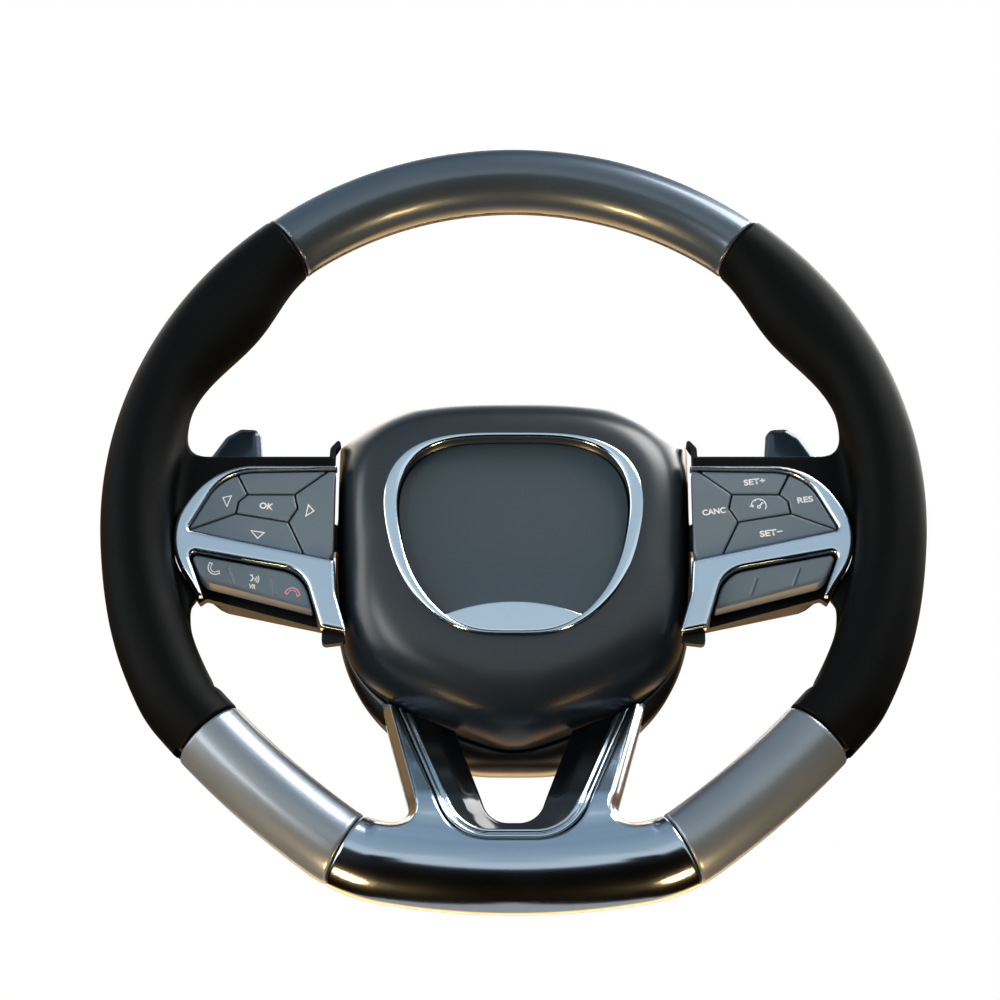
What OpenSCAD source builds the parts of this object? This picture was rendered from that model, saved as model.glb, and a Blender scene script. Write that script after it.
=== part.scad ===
// Car steering wheel with a flat-bottomed rim, airbag module, two switch pods
// and two shift paddles. Z is up with the wheel straight ahead, X is to the
// right, and Y runs from the driver to the column. The origin is the centre of
// the hub seat, and all depths below are measured from the rim's middle plane.

/* [Rim] */
// Radius of the round upper rim, from the axis to the middle of the tube
rim_radius = 172.3; // [166:0.1:180]
// Half thickness of the upper tube, across the rim
tube_half = 15.8; // [14:0.1:18]
// Half thickness of the lower tube, across the rim
tube_half_low = 17.2; // [15:0.1:19]
// Half depth of the tube, front to back
tube_half_depth = 16; // [14:0.1:18]
// How far each thumb rest swells towards the hub
thumb_swell = 8.7; // [0:0.1:12]
// Angle of the thumb rests above the horizontal
thumb_angle = 36; // [30:1:40]
// Spread of a thumb rest to each side of its middle
thumb_spread = 18; // [12:1:22]
// Depth from the middle plane of the rim back to the hub seat
dish = 70; // [68:1:78]

/* [Lower rim] */
// Radius of the shoulder below the horizontal
shoulder_r = 198; // [180:1:220]
// Turn of the shoulder
shoulder_turn = 27; // [24:1:30]
// Radius of the knee between shoulder and flank
knee_r = 48; // [40:1:60]
// Turn of the knee
knee_turn = 14; // [12:1:16]
// Radius of the long flank
flank_r = 410; // [350:5:500]
// Turn of the flank
flank_turn = 12.4; // [11:0.1:13]
// Radius of the corner into the flat bottom
corner_r = 58; // [50:1:70]
// Turn of the corner
corner_turn = 26.6; // [24:0.1:27]

/* [Rim covers] */
// Wall of the leather and of the hard rim covers
skin = 2; // [1.6:0.1:2.6]
// Gap between neighbouring covers at a seam
seam_gap = 0.4; // [0.2:0.1:0.8]
// Fit gap between a cover and the foam under it
foam_gap = 0.9; // [0.5:0.05:1]
// Seam of leather and upper cap, in degrees above the horizontal
cap_seam = 51.4; // [50:0.1:56]
// Seam of leather and silver band, in degrees of turn below the horizontal
band_seam = 43.1; // [42:0.1:46]
// Turn that a silver band covers
band_turn = 17.9; // [16:0.1:20]
// How far the rear cap reaches round the inner side, in degrees
cap_wrap = 12; // [4:1:20]
// How far the front bottom shell wraps the outer side, in degrees
bottom_wrap = 17; // [8:1:24]
// Radius of the magnesium core in the rim
core_r = 6; // [4:0.5:8]

/* [Hub] */
// Depth of the hub pad's parting line behind the rim plane
pad_parting = 34; // [32:0.5:36]
// Wall of the pad cover
pad_wall = 3; // [2:0.1:4]
// Travel of the hub pad when the horn is pressed
horn_travel = 1.5; // [0.8:0.1:2]
// Gap around the hub pad
pad_gap = 0.8; // [0.5:0.1:1.2]
// Depth of the emblem panel behind the ring's plane
panel_recess = 6; // [3:0.5:8]
// Wall of the rear cover
cover_wall = 2.4; // [2:0.1:3.5]
// Radius of the plain pilot bore for the column
pilot_r = 9.6; // [8:0.1:11]
// Length of the pilot bore
pilot_len = 8; // [6:0.5:12]
// Radius over the steel boss
boss_r = 20; // [17:0.5:24]
// Length of the steel boss
boss_len = 18; // [14:0.5:20]
// Number of serrations in the boss
serrations = 36; // [24:1:48]

/* [Switch pods] */
// Depth of the key faces behind the rim plane
key_face = 5; // [4:0.5:6]
// Height of a key from face to foot
key_height = 8; // [6:0.5:9]
// Travel of a key
key_travel = 1.2; // [0.6:0.1:1.5]
// Half gap between neighbouring keys
key_gap = 0.35; // [0.25:0.05:0.5]
// Depth of the front face of the pod bezels
bezel_face = 4; // [3.5:0.5:5]
// Thickness of the pod bezels
bezel_thick = 5; // [3:0.5:5.5]
// Tilt of a lower bar to each side
bar_tilt = 2; // [1:0.5:2.5]

/* [Paddles] */
// Thickness of a paddle blade
paddle_thick = 3.5; // [3:0.5:5]
// Gap left between a pulled paddle and the cover in front of it
paddle_gap = 1.1; // [0.8:0.1:2]
// Angle by which a paddle is pulled
paddle_pull = 5; // [2:0.5:6]
// Radius of the paddle pivot pins
pin_r = 1.5; // [1:0.1:2]
// Running clearance of the paddle pins
pin_clear = 0.05; // [0.03:0.01:0.1]

/* [Lower spoke] */
// Thickness of the bottom spoke's front legs
leg_depth = 9; // [7:0.5:11]
// Wall of the bottom spoke's legs
leg_wall = 2.4; // [2:0.1:3]
// Width of the trim strip along the inside of the bottom spoke
strip_w = 3.4; // [2:0.1:5]
// Depth of the black inner plate behind the bottom spoke's face
plate_recess = 4; // [2:0.5:6]

/* [Hidden] */
fit = 0.3;
eps = 0.02;
big = 400;
bezel_seam = band_seam + band_turn;
section_pts = 16;
rim_steps = 4;
fillet_step = 18;
min_corner = 0.2;

// Plane geometry helpers
function unit(a) = [cos(a), sin(a)];
function mix(a, b, t) = a + (b - a) * t;
function sgn_pow(v, e) = sign(v) * pow(abs(v), e);
function reverse(list) = [for (i = [len(list) - 1:-1:0]) list[i]];
function span(from, to, step) =
    let (n = max(1, ceil(abs(to - from) / step)))
    [for (i = [0:n]) mix(from, to, i / n)];

// Arc that rounds the corner p between a and b
function corner(a, p, b, r) =
    let (
        u = (a - p) / norm(a - p),
        v = (b - p) / norm(b - p),
        half = acos(max(-1, min(1, u * v))) / 2,
        c = p + (u + v) / norm(u + v) * r / sin(half),
        s = p + u * r / tan(half) - c,
        e = p + v * r / tan(half) - c,
        from = atan2(s[1], s[0]),
        turn = atan2(s[0] * e[1] - s[1] * e[0], s * e),
        n = max(1, round(abs(turn) / fillet_step))
    )
    [for (i = [0:n]) c + r * unit(from + turn * i / n)];

// Outline whose corners [x, y, r] are rounded by their own radius
function rounded(pts) = [
    for (i = [0:len(pts) - 1])
        let (
            n = len(pts),
            a = pts[(i + n - 1) % n],
            p = pts[i],
            b = pts[(i + 1) % n]
        )
        each (p[2] > 0
            ? corner([a[0], a[1]], [p[0], p[1]], [b[0], b[1]], p[2])
            : [[p[0], p[1]]])
];

// Outline moved inwards by d, for points that run anticlockwise
function inset(pts, d) = [
    for (i = [0:len(pts) - 1])
        let (
            n = len(pts),
            a = pts[(i + n - 1) % n],
            p = pts[i],
            b = pts[(i + 1) % n],
            u = (p - a) / norm(p - a),
            v = (b - p) / norm(b - p),
            nu = [-u[1], u[0]],
            nv = [-v[1], v[0]]
        )
        p + (nu + nv) * d / (1 + nu * nv)
];

// Rounded outline moved inwards by d, with each corner's radius kept true
function shrunk(corners, d) =
    let (
        n = len(corners),
        pts = [for (c = corners) [c[0], c[1]]],
        moved = inset(pts, d)
    )
    rounded([
        for (i = [0:n - 1])
            let (
                turn = cross(pts[i] - pts[(i + n - 1) % n], pts[(i + 1) % n] - pts[i]),
                r = corners[i][2]
            )
            [moved[i][0], moved[i][1], r == 0 ? 0 : max(min_corner, r - sign(turn) * d)]
    ]);

// Band of width t along an open line
function ribbon(pts, t) =
    let (
        last = len(pts) - 1,
        side = function (k) [
            for (i = [0:last])
                let (
                    p = pts[i],
                    u = i > 0 ? (p - pts[i - 1]) / norm(p - pts[i - 1])
                        : (pts[1] - p) / norm(pts[1] - p),
                    v = i < last ? (pts[i + 1] - p) / norm(pts[i + 1] - p) : u,
                    nu = [-u[1], u[0]],
                    nv = [-v[1], v[0]]
                )
                p + (nu + nv) * k / (1 + nu * nv)
        ]
    )
    concat(side(-t / 2), reverse(side(t / 2)));

// Solid between the depths y0 and y1 over an outline in X and Z
module slab(y0, y1) {
    translate([0, y1, 0])
        rotate([90, 0, 0])
            linear_extrude(y1 - y0) children();
}

// Solid between x0 and x1 over an outline in Y and Z
module side_slab(x0, x1) {
    translate([x0, 0, 0])
        rotate([90, 0, 90])
            linear_extrude(x1 - x0) children();
}

module left_half() {
    mirror([1, 0, 0]) children();
}

module rim_frame() {
    translate([0, -dish, 0]) children();
}

// Lofts
module loft(rings, closed = false) {
    n = len(rings[0]);
    m = len(rings);
    joins = closed ? m : m - 1;
    sides = [
        for (j = [0:joins - 1], i = [0:n - 1])
            let (a = j * n, b = ((j + 1) % m) * n, k = (i + 1) % n)
            [b + i, b + k, a + k, a + i]
    ];
    ends = closed ? [] : [
        [for (i = [0:n - 1]) i],
        [for (i = [n - 1:-1:0]) (m - 1) * n + i]
    ];
    polyhedron(points = [for (r = rings) each r], faces = concat(sides, ends), convexity = 8);
}

// Shell between outer and inner rows of points, open or closed round the tube
module shell(outer, inner, closed) {
    m = len(outer);
    n = len(outer[0]);
    inside = m * n;
    last = closed ? n - 1 : n - 2;
    walls = [
        for (j = [0:m - 2], i = [0:last])
            let (a = j * n, b = a + n, k = (i + 1) % n)
            each [
                [b + i, b + k, a + k, a + i],
                [inside + a + i, inside + a + k, inside + b + k, inside + b + i]
            ]
    ];
    end = (m - 1) * n;
    ends = [
        for (i = [0:last])
            let (k = (i + 1) % n)
            each [
                [i, k, inside + k, inside + i],
                [inside + end + i, inside + end + k, end + k, end + i]
            ]
    ];
    edges = closed ? [] : [
        for (j = [0:m - 2])
            let (a = j * n, b = a + n, k = n - 1)
            each [
                [b, a, inside + a, inside + b],
                [a + k, b + k, inside + b + k, inside + a + k]
            ]
    ];
    polyhedron(
        points = concat([for (r = outer) each r], [for (r = inner) each r]),
        faces = concat(walls, ends, edges),
        convexity = 8
    );
}

// The rim's middle line: an upper half circle and five arcs to the flat
// bottom, each given by the direction of its outward normal
knee_at = -shoulder_turn;
flank_at = knee_at - knee_turn;
corner_at = flank_at - flank_turn;
bottom_at = corner_at - corner_turn;
shoulder_c = [rim_radius - shoulder_r, 0];
knee_c = shoulder_c + (shoulder_r - knee_r) * unit(knee_at);
flank_c = knee_c + (knee_r - flank_r) * unit(flank_at);
corner_c = flank_c + (flank_r - corner_r) * unit(corner_at);
bottom_r = corner_r + corner_c[0] / cos(bottom_at);
bottom_c = corner_c + (corner_r - bottom_r) * unit(bottom_at);

function rim_point(a) =
    a < -90 ? let (p = rim_point(-180 - a)) [-p[0], p[1]]
    : a >= 0 ? rim_radius * unit(a)
    : a >= knee_at ? shoulder_c + shoulder_r * unit(a)
    : a >= flank_at ? knee_c + knee_r * unit(a)
    : a >= corner_at ? flank_c + flank_r * unit(a)
    : a >= bottom_at ? corner_c + corner_r * unit(a)
    : bottom_c + bottom_r * unit(a);

bottom_z = rim_point(-90)[1];
thicken_from = -6;
thicken_to = -22;
function ease(t) = let (k = max(0, min(1, t))) k * k * (3 - 2 * k);
function turned(a) = a < -90 ? -180 - a : a > 90 ? 180 - a : a;
function tube_at(a) =
    mix(tube_half, tube_half_low, ease((turned(a) - thicken_from) / (thicken_to - thicken_from)));
function swell_at(a) =
    let (d = abs(turned(a) - thumb_angle))
    d < thumb_spread ? thumb_swell * (1 + cos(180 * d / thumb_spread)) / 2 : 0;

// Point of the tube at turn a and section angle s, moved in by d. The section
// angle is 0 on the outer side, 90 at the back and 270 at the front.
function tube_point(a, s, d) =
    let (
        c = rim_point(a),
        across = (tube_at(a) + (cos(s) < 0 ? swell_at(a) : 0) - d) * cos(s),
        depth = (tube_half_depth - d) * sin(s),
        p = c + across * unit(a)
    )
    [p[0], depth, p[1]];

function tube_rows(turns, sections, d) = [
    for (a = turns) [for (s = sections) tube_point(a, s, d)]
];
all_round = [for (i = [0:section_pts - 1]) 360 * i / section_pts];

// Half of a seam's gap, as a turn of the rim at radius r
function half_seam(r) = seam_gap / 2 / r * 180 / PI;

module tube_shell(from, to, step) {
    turns = span(from, to, step);
    shell(tube_rows(turns, all_round, 0), tube_rows(turns, all_round, skin), true);
}

module tube_part(from, to, step, s0, s1, count) {
    turns = span(from, to, step);
    sections = span(s0, s1, (s1 - s0) / count);
    shell(tube_rows(turns, sections, 0), tube_rows(turns, sections, skin), false);
}

// Shield outline of half width w between zt and zb: a superellipse whose
// lower part is drawn in
function shield_point(f, a) =
    let (
        w = f[0],
        zt = f[1],
        zb = f[2],
        z = (zt + zb) / 2 + (zt - zb) / 2 * sgn_pow(sin(a), 2 / f[6]),
        drop = max(0, (zt - z) / (zt - zb))
    )
    [w * sgn_pow(cos(a), 2 / f[5]) * (1 - f[3] * pow(drop, f[4])), z];
function shield(f, count) = [for (i = [0:count - 1]) shield_point(f, 360 * i / count)];
function at_depth(pts, y) = [for (p = pts) [p[0], y, p[1]]];
function grown(f, d) = [f[0] + d, f[1] + d, f[2] - d, f[3], f[4], f[5], f[6]];

// Shields: half width, top, bottom, draw-in, its power, side and top powers
ring_form = [60.8, 37.5, -63.4, 0.35, 2.3, 3.5, 2.8];
window_form = [55, 35.2, -62, 0.35, 2.3, 3.5, 2.8];
parting_form = [82, 61, -106, 0.75, 7.6, 2.65, 4.8];
rear_form = [84, 66, -112.3, 0.42, 5.5, 3.7, 3.5];
shield_pts = 40;
pad_steps = 8;
ring_plane = 0;

// How square the crown of the pad is at its top, its sides and its foot
crown_top = 3.2;
crown_side = 4.8;
crown_foot = 2.8;
function crown_at(a) =
    mix(
        crown_side, sin(a) > 0 ? crown_top : crown_foot,
        ease(1.25 * pow(abs(sin(a)), 2 / parting_form[6]))
    );

// Pad surface: from the parting line round to the ring
function pad_row(t) = [
    for (i = [0:shield_pts - 1])
        let (
            a = 360 * i / shield_pts,
            e = 2 / crown_at(a),
            inward = 1 - pow(cos(90 * t), e),
            p = shield_point(mix(parting_form, ring_form, inward), a)
        )
        [p[0], mix(pad_parting, ring_plane, pow(sin(90 * t), e)), p[1]]
];

// Blank of the tube between two turns, moved in by d
module tube_core(from, to, d) {
    loft(tube_rows(span(from, to, rim_steps), all_round, d));
}

// Bottom spoke outlines. The legs lean outwards and slope back to the hub.
foot_z = bottom_z - tube_half_low;
leg_foot_z = foot_z + 42.3;
leg_top_z = -86;
leg_front_low = -10;
leg_front_top = 32;
function leg_front(z) =
    z < leg_foot_z ? leg_front_low
    : mix(leg_front_low, leg_front_top, (z - leg_foot_z) / (leg_top_z - leg_foot_z));
spoke_top_z = -76;
spoke_foot_z = leg_foot_z - 16;
spoke_edge_z = leg_foot_z - 4.5;
spoke_corners = [
    [-62, spoke_top_z, 0], [-43.4, spoke_edge_z, 6], [-58, spoke_edge_z + 0.5, 0], [-58, spoke_foot_z, 0],
    [58, spoke_foot_z, 0], [58, spoke_edge_z + 0.5, 0], [43.4, spoke_edge_z, 6], [62, spoke_top_z, 0]
];
opening_z = leg_foot_z - 11;
opening_corners = [[61.9, -56, 0], [-61.9, -56, 0], [-19.2, opening_z, 16], [19.2, opening_z, 16]];
hole_outline = rounded([
    [29.1, -90, 0], [-29.1, -90, 0], [-12.6, leg_foot_z - 1.8, 7], [12.6, leg_foot_z - 1.8, 7]
]);

// Layer of the sloping spoke, from depth a to depth b behind its front face
module spoke_layer(a, b) {
    side_slab(-80, 80)
        polygon([
            [leg_front_low + a, spoke_foot_z - 10],
            [leg_front_low + a, leg_foot_z],
            [leg_front(spoke_top_z) + a, spoke_top_z],
            [leg_front(spoke_top_z) + b, spoke_top_z],
            [leg_front_low + b, leg_foot_z],
            [leg_front_low + b, spoke_foot_z - 10]
        ]);
}

// Room that the hub pad needs, seen from the front
module pad_room() {
    slab(-60, 60) polygon(shield(grown(parting_form, pad_gap), shield_pts));
}

// Inner side of the rim at the spokes
flank = rim_radius - tube_half;

// Magnesium skeleton
plate_face = dish - 12;
plate_thick = 6;
rib_h = 14;
rib_w = 6;
leg_rib_x = 34;
leg_rib_lean = 17.8;
core_steps = 9;
core_pts = 6;
side_rib = [[30, plate_face + 3], [60, plate_face + 3], [80, 42], [92, 31.5], [flank - 10.5, 31.5], [flank + 6.5, 6], [rim_radius, 0]];
plate_outline = rounded([
    [-54, 42, 10], [-66, 10, 6], [-66, -12, 6], [-58, -70, 8], [-46, -79, 6], [-22, -64, 12],
    [22, -64, 12], [46, -79, 6], [58, -70, 8], [66, -12, 6], [66, 10, 6], [54, 42, 10]
]);
spring_places = [[42, 28], [-42, 28], [0, -50]];

module rim_core(r) {
    loft([
        for (a = [-180 + core_steps:core_steps:180])
            let (c = rim_point(a))
            [
                for (i = [0:core_pts - 1])
                    let (s = 360 * i / core_pts, p = c + r * cos(s) * unit(a))
                    [p[0], r * sin(s), p[1]]
            ]
    ], true);
}

module side_rib_solid(extra) {
    translate([0, 0, -rib_h / 2 - extra])
        linear_extrude(rib_h + 2 * extra) polygon(ribbon(side_rib, rib_w + 2 * extra));
}

module leg_rib_solid(extra) {
    along = function (z) (z - leg_foot_z) / cos(leg_rib_lean);
    mid = (leg_wall + leg_depth) / 2 + 0.2;
    translate([leg_rib_x, 0, leg_foot_z])
        rotate([0, leg_rib_lean, 0])
            side_slab(-rib_w / 2 - extra, rib_w / 2 + extra)
                polygon(ribbon([
                    [0, along(bottom_z)],
                    [leg_front_low + mid, 0],
                    [leg_front(-90) + mid, along(-90)],
                    [plate_face + 2.4, along(-77)]
                ], leg_depth - leg_wall - 1.4 + 2 * extra));
}

module both_sides() {
    children();
    left_half() children();
}

module armature() {
    color("#b9bcbf") rim_frame() difference() {
        union() {
            rim_core(core_r);
            both_sides() {
                side_rib_solid(0);
                leg_rib_solid(0);
            }
            slab(plate_face, plate_face + plate_thick) polygon(plate_outline);
        }
        slab(plate_face - 20, plate_face + 20) circle(r = boss_r + 0.05, $fn = 64);
        for (x = [-44, 44])
            slab(plate_face - 1, plate_face + plate_thick + 1) translate([x, -40]) circle(r = 8, $fn = 48);
    }
}

// Steel boss with a plain pilot bore and serrations for the column
serration_depth = 0.5;
module hub_boss() {
    star = [
        for (i = [0:2 * serrations - 1])
            (pilot_r - 0.6 - (i % 2) * serration_depth) * unit(180 * i / serrations)
    ];
    color("#8d9196") rim_frame() difference() {
        union() {
            slab(dish - boss_len, dish) circle(r = boss_r, $fn = 64);
            slab(plate_face - 3, plate_face) circle(r = boss_r + 5, $fn = 64);
        }
        slab(dish - pilot_len, dish + 1) circle(r = pilot_r, $fn = 64);
        slab(dish - boss_len + 4, dish - pilot_len + eps) polygon(star);
        slab(dish - boss_len - 1, dish - boss_len + 4 + eps) circle(r = pilot_r + 3, $fn = 64);
    }
}

module rim_foam() {
    foam_steps = 6;
    foam_pts = 10;
    rows = tube_rows(
        [for (a = [-180 + foam_steps:foam_steps:180]) a],
        [for (i = [0:foam_pts - 1]) 360 * i / foam_pts],
        skin + foam_gap
    );
    color("#2a2a2c") rim_frame() difference() {
        loft(rows, true);
        rim_core(core_r + fit);
        both_sides() {
            side_rib_solid(fit);
            leg_rib_solid(fit);
        }
    }
}

// Leather grip: a tube round the rim and a tongue over the spoke
tongue_front = 8;
tongue_back = 15;
tongue_outline = rounded([
    [83, 30, 0], [83, -50, 0], [flank - 22.5, -38.5, 0], [flank - 10.5, -41.5, 8], [flank - 9, -64, 0],
    [flank + 9.5, -64, 0], [flank + 9.5, 50, 0], [flank + 2, 50, 0], [flank - 6.5, 30, 12]
]);
pod_corners = [
    [60, 22.7, 0], [60, -90, 0], [flank - 24.5, -90, 0], [flank - 14.2, -42.5, 2],
    [flank + 4.5, -13, 31], [flank - 18.5, 22.7, 34]
];
function turn_gap(a) = half_seam(norm(rim_point(a)));

module grip() {
    color("#17181a") rim_frame() difference() {
        union() {
            tube_shell(-band_seam + turn_gap(0), cap_seam - turn_gap(0), rim_steps);
            difference() {
                slab(tongue_front, tongue_back) polygon(tongue_outline);
                slab(tongue_front - 1, tongue_back + 1) polygon(shrunk(pod_corners, -fit));
                tube_core(-30, 24, skin - 0.5);
            }
        }
        side_rib_solid(fit);
    }
}
module grip_right() grip();
module grip_left() left_half() grip();

module rim_cap_front() {
    color("#3c4248") rim_frame()
        tube_part(cap_seam + turn_gap(0), 180 - cap_seam - turn_gap(0), rim_steps, 180 - cap_wrap, 360, 10);
}

module rim_cap_rear() {
    color("#33373c") rim_frame()
        tube_part(
            cap_seam + turn_gap(0), 180 - cap_seam - turn_gap(0), rim_steps,
            half_seam(tube_half), 180 - cap_wrap - half_seam(tube_half) * 2, 8
        );
}

module band() {
    color("#8a939b") rim_frame()
        tube_shell(-bezel_seam + half_seam(corner_r), -band_seam - turn_gap(0), 3);
}
module band_right() band();
module band_left() left_half() band();

// Bottom of the rim: glossy front shell with the two legs, and the rear shell
bottom_from = -180 + bezel_seam + half_seam(corner_r);
bottom_to = -bezel_seam - half_seam(corner_r);
back_gap = 0.3;
inner_seam = 180 - asin((leg_front_low + leg_depth + back_gap / 2) / tube_half_depth);
inner_gap = back_gap / 2 / tube_half_depth * 180 / PI;

module bottom_bezel() {
    color("#6f7c8a") rim_frame() {
        difference() {
            tube_part(bottom_from, bottom_to, rim_steps, inner_seam + inner_gap, 360 + bottom_wrap, 12);
            slab(-40, leg_front_low + leg_depth + 0.1) polygon(rounded(opening_corners));
            both_sides() leg_rib_solid(fit);
        }
        difference() {
            intersection() {
                slab(-40, 60) polygon(rounded(spoke_corners));
                spoke_layer(0, leg_depth);
            }
            slab(-41, 61) polygon(rounded(opening_corners));
            leg_channel();
            tube_core(bottom_from, bottom_to, skin - 0.5);
            pad_room();
            both_sides() leg_rib_solid(fit);
        }
    }
}

// Hollow inside the legs, open to the back
module leg_channel() {
    both_sides()
        intersection() {
            slab(-40, 60)
                polygon([
                    [62 - leg_wall * 1.1, spoke_top_z + 1], [53.8 + leg_wall * 1.1, spoke_top_z + 1],
                    [27.5 + leg_wall, leg_foot_z + 8], [46.5 - leg_wall, leg_foot_z + 8]
                ]);
            spoke_layer(leg_wall, leg_depth + 1);
        }
}

module bottom_rear_shell() {
    color("#c9ced3") rim_frame() {
        difference() {
            tube_part(
                bottom_from, bottom_to, rim_steps,
                bottom_wrap + half_seam(tube_half_low) * 2, inner_seam - inner_gap, 8
            );
            both_sides() leg_rib_solid(fit);
        }
        difference() {
            intersection() {
                slab(-40, 60) polygon(rounded(spoke_corners));
                spoke_layer(leg_depth + back_gap, leg_depth + back_gap + 2.2);
            }
            slab(-41, 61) polygon(rounded(opening_corners));
            tube_core(bottom_from, bottom_to, skin - 0.5);
            slab(-60, 60) polygon(shield(grown(rear_form, 1), shield_pts));
            both_sides() leg_rib_solid(fit);
        }
    }
}

module bottom_trim_strip() {
    color("#d5dbe1") rim_frame() difference() {
        intersection() {
            slab(-40, 60) polygon(shrunk(opening_corners, 0.25));
            spoke_layer(1, 4.5);
        }
        slab(-41, 61) polygon(shrunk(opening_corners, strip_w));
        pad_room();
    }
}

module bottom_inner_plate() {
    color("#101113") rim_frame() difference() {
        intersection() {
            slab(-40, 60) polygon(shrunk(opening_corners, strip_w + fit));
            spoke_layer(plate_recess, plate_recess + 3);
        }
        slab(-41, 61) polygon(hole_outline);
        pad_room();
    }
}

// Rear cover: a bowl round the hub, and a tray of its own behind each side spoke
bowl_front = pad_parting + horn_travel + pad_gap;
bowl_back = dish - 1.5;
column_hole_r = 46;
function round_form(r) = [r, r, -r, 0, 1, 2, 2];
function bowl_rows(d) = [
    for (row = [
        [bowl_back - d, round_form(column_hole_r)],
        [bowl_back - d, grown(rear_form, -14 - d)],
        [bowl_back - 2.5 - d, grown(rear_form, -7 - d)],
        [bowl_back - 9, grown(rear_form, -2.5 - d)],
        [bowl_front + 12, grown(rear_form, -d)],
        [bowl_front, grown(parting_form, 0.5 - d)]
    ]) at_depth(shield(row[1], shield_pts), row[0])
];

module rear_cover() {
    color("#1c1d20") rim_frame() difference() {
        loft(concat(bowl_rows(0), reverse(bowl_rows(cover_wall))), true);
        both_sides() {
            side_rib_solid(0.5);
            leg_rib_solid(0.5);
        }
        intersection() {
            slab(-40, 60) polygon(shrunk(spoke_corners, -0.4));
            spoke_layer(-1, leg_depth + 3.2);
        }
    }
}

arm_front = 27.4;
arm_back = 40;
arm_root = rear_form[0] + 0.6;
arm_corners = [
    [arm_root, 27, 1.5], [arm_root, -47, 1.5], [flank - 22.5, -36, 8], [flank - 5.5, -22, 12],
    [flank - 4.5, 12, 14], [flank - 16.5, 27, 12]
];
screw_places = [[104, 17], [104, -28]];
screw_r = 1.5;
screw_head_r = 3;

module spoke_tray() {
    color("#1c1d20") rim_frame() difference() {
        union() {
            difference() {
                slab(arm_front, arm_back) polygon(rounded(arm_corners));
                slab(arm_front - 1, arm_back - cover_wall) polygon(shrunk(arm_corners, cover_wall));
            }
            for (p = screw_places)
                slab(arm_front, arm_back - 0.5) translate(p) circle(r = screw_head_r + 1.2, $fn = 48);
        }
        side_rib_solid(0.5);
        for (p = screw_places) {
            slab(arm_front - 1, arm_back + 1) translate(p) circle(r = screw_r + 0.1, $fn = 32);
            slab(arm_back - 2, arm_back + 1) translate(p) circle(r = screw_head_r + 0.2, $fn = 32);
        }
    }
}
module spoke_tray_right() spoke_tray();
module spoke_tray_left() left_half() spoke_tray();

// Hub pad: cover, ring, panel and the airbag parts behind it
panel_thick = 2;
ring_proud = 1.5;
arch_r = 78;
arch_z = -47 - arch_r;

module pad_cover() {
    hollow_front = can_front - 0.7;
    outer = [for (i = [0:pad_steps]) pad_row(i / pad_steps)];
    inner = [
        for (row = [[hollow_front, 3 * pad_wall], [1.5 * hollow_front, 1.5 * pad_wall], [pad_parting, pad_wall]])
            at_depth(shield(grown(parting_form, -row[1]), shield_pts), row[0])
    ];
    pocket = [
        at_depth(shield(window_form, shield_pts), ring_plane),
        at_depth(shield(window_form, shield_pts), ring_plane + panel_recess + panel_thick)
    ];
    color("#2b2e31") rim_frame() loft(concat(inner, outer, pocket));
}

module pad_ring() {
    window = shield(grown(window_form, -0.3), 2 * shield_pts);
    color("#aebccb") rim_frame() {
        difference() {
            slab(ring_plane - ring_proud, ring_plane) polygon(shield(ring_form, 2 * shield_pts));
            slab(ring_plane - 3, ring_plane + 1) polygon(window);
        }
        intersection() {
            slab(ring_plane - 1, ring_plane + panel_recess - fit) polygon(window);
            slab(ring_plane - 2, ring_plane + panel_recess) translate([0, arch_z]) circle(r = arch_r, $fn = 160);
        }
    }
}

module pad_panel() {
    color("#33404a") rim_frame()
        slab(ring_plane + panel_recess, ring_plane + panel_recess + panel_thick)
            polygon(shield(grown(window_form, -fit), 2 * shield_pts));
}

can_front = 12.2;
can_back = 36;
can_wall = 1.6;
can_corners = [[50, 44, 14], [-50, 44, 14], [-42, -62, 14], [42, -62, 14]];
inflator_r = 29;
module airbag_can() {
    color("#77797c") rim_frame() difference() {
        slab(can_front, can_back) polygon(rounded(can_corners));
        slab(can_front - 1, can_back - can_wall) polygon(shrunk(can_corners, can_wall));
        slab(can_front, can_back + 1) circle(r = inflator_r + fit, $fn = 64);
    }
}

module airbag_cushion() {
    color("#d9d6cc") rim_frame()
        slab(can_front + 0.4, 25.6) polygon(shrunk(can_corners, can_wall + 0.4));
}

module inflator() {
    color("#a7a9ab") rim_frame() {
        slab(26, 46) circle(r = inflator_r, $fn = 64);
        slab(can_back + 0.1, can_back + 1.6)
            polygon(rounded([[36, 36, 8], [-36, 36, 8], [-36, -36, 8], [36, -36, 8]]));
    }
}

// Springs under the pad, drawn as close coils round a hollow
module coil(wire, mean_r, pitch, turns) {
    rotate_extrude($fn = 36) {
        translate([mean_r - wire / 2, 0]) square([wire, turns * pitch]);
        for (i = [0:turns - 1])
            translate([mean_r, (i + 0.5) * pitch]) circle(d = wire * 1.5, $fn = 16);
    }
}
module horn_springs() {
    turns = 8;
    pitch = (plate_face - can_back - horn_travel - fit) / turns;
    color("#c4c6c8") rim_frame()
        for (p = spring_places)
            translate([p[0], plate_face, p[1]])
                rotate([90, 0, 0]) coil(1, 5, pitch, turns);
}

module cover_screws() {
    head = 1.8;
    color("#55585c") rim_frame()
        both_sides()
            for (p = screw_places) {
                slab(21, arm_back - 2) translate(p) circle(r = screw_r, $fn = 32);
                difference() {
                    slab(arm_back - 2, arm_back - 2 + head) translate(p) circle(r = screw_head_r, $fn = 48);
                    slab(arm_back - 1.2, arm_back + 1) translate(p) circle(r = 1.3, $fn = 6);
                }
            }
}

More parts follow.
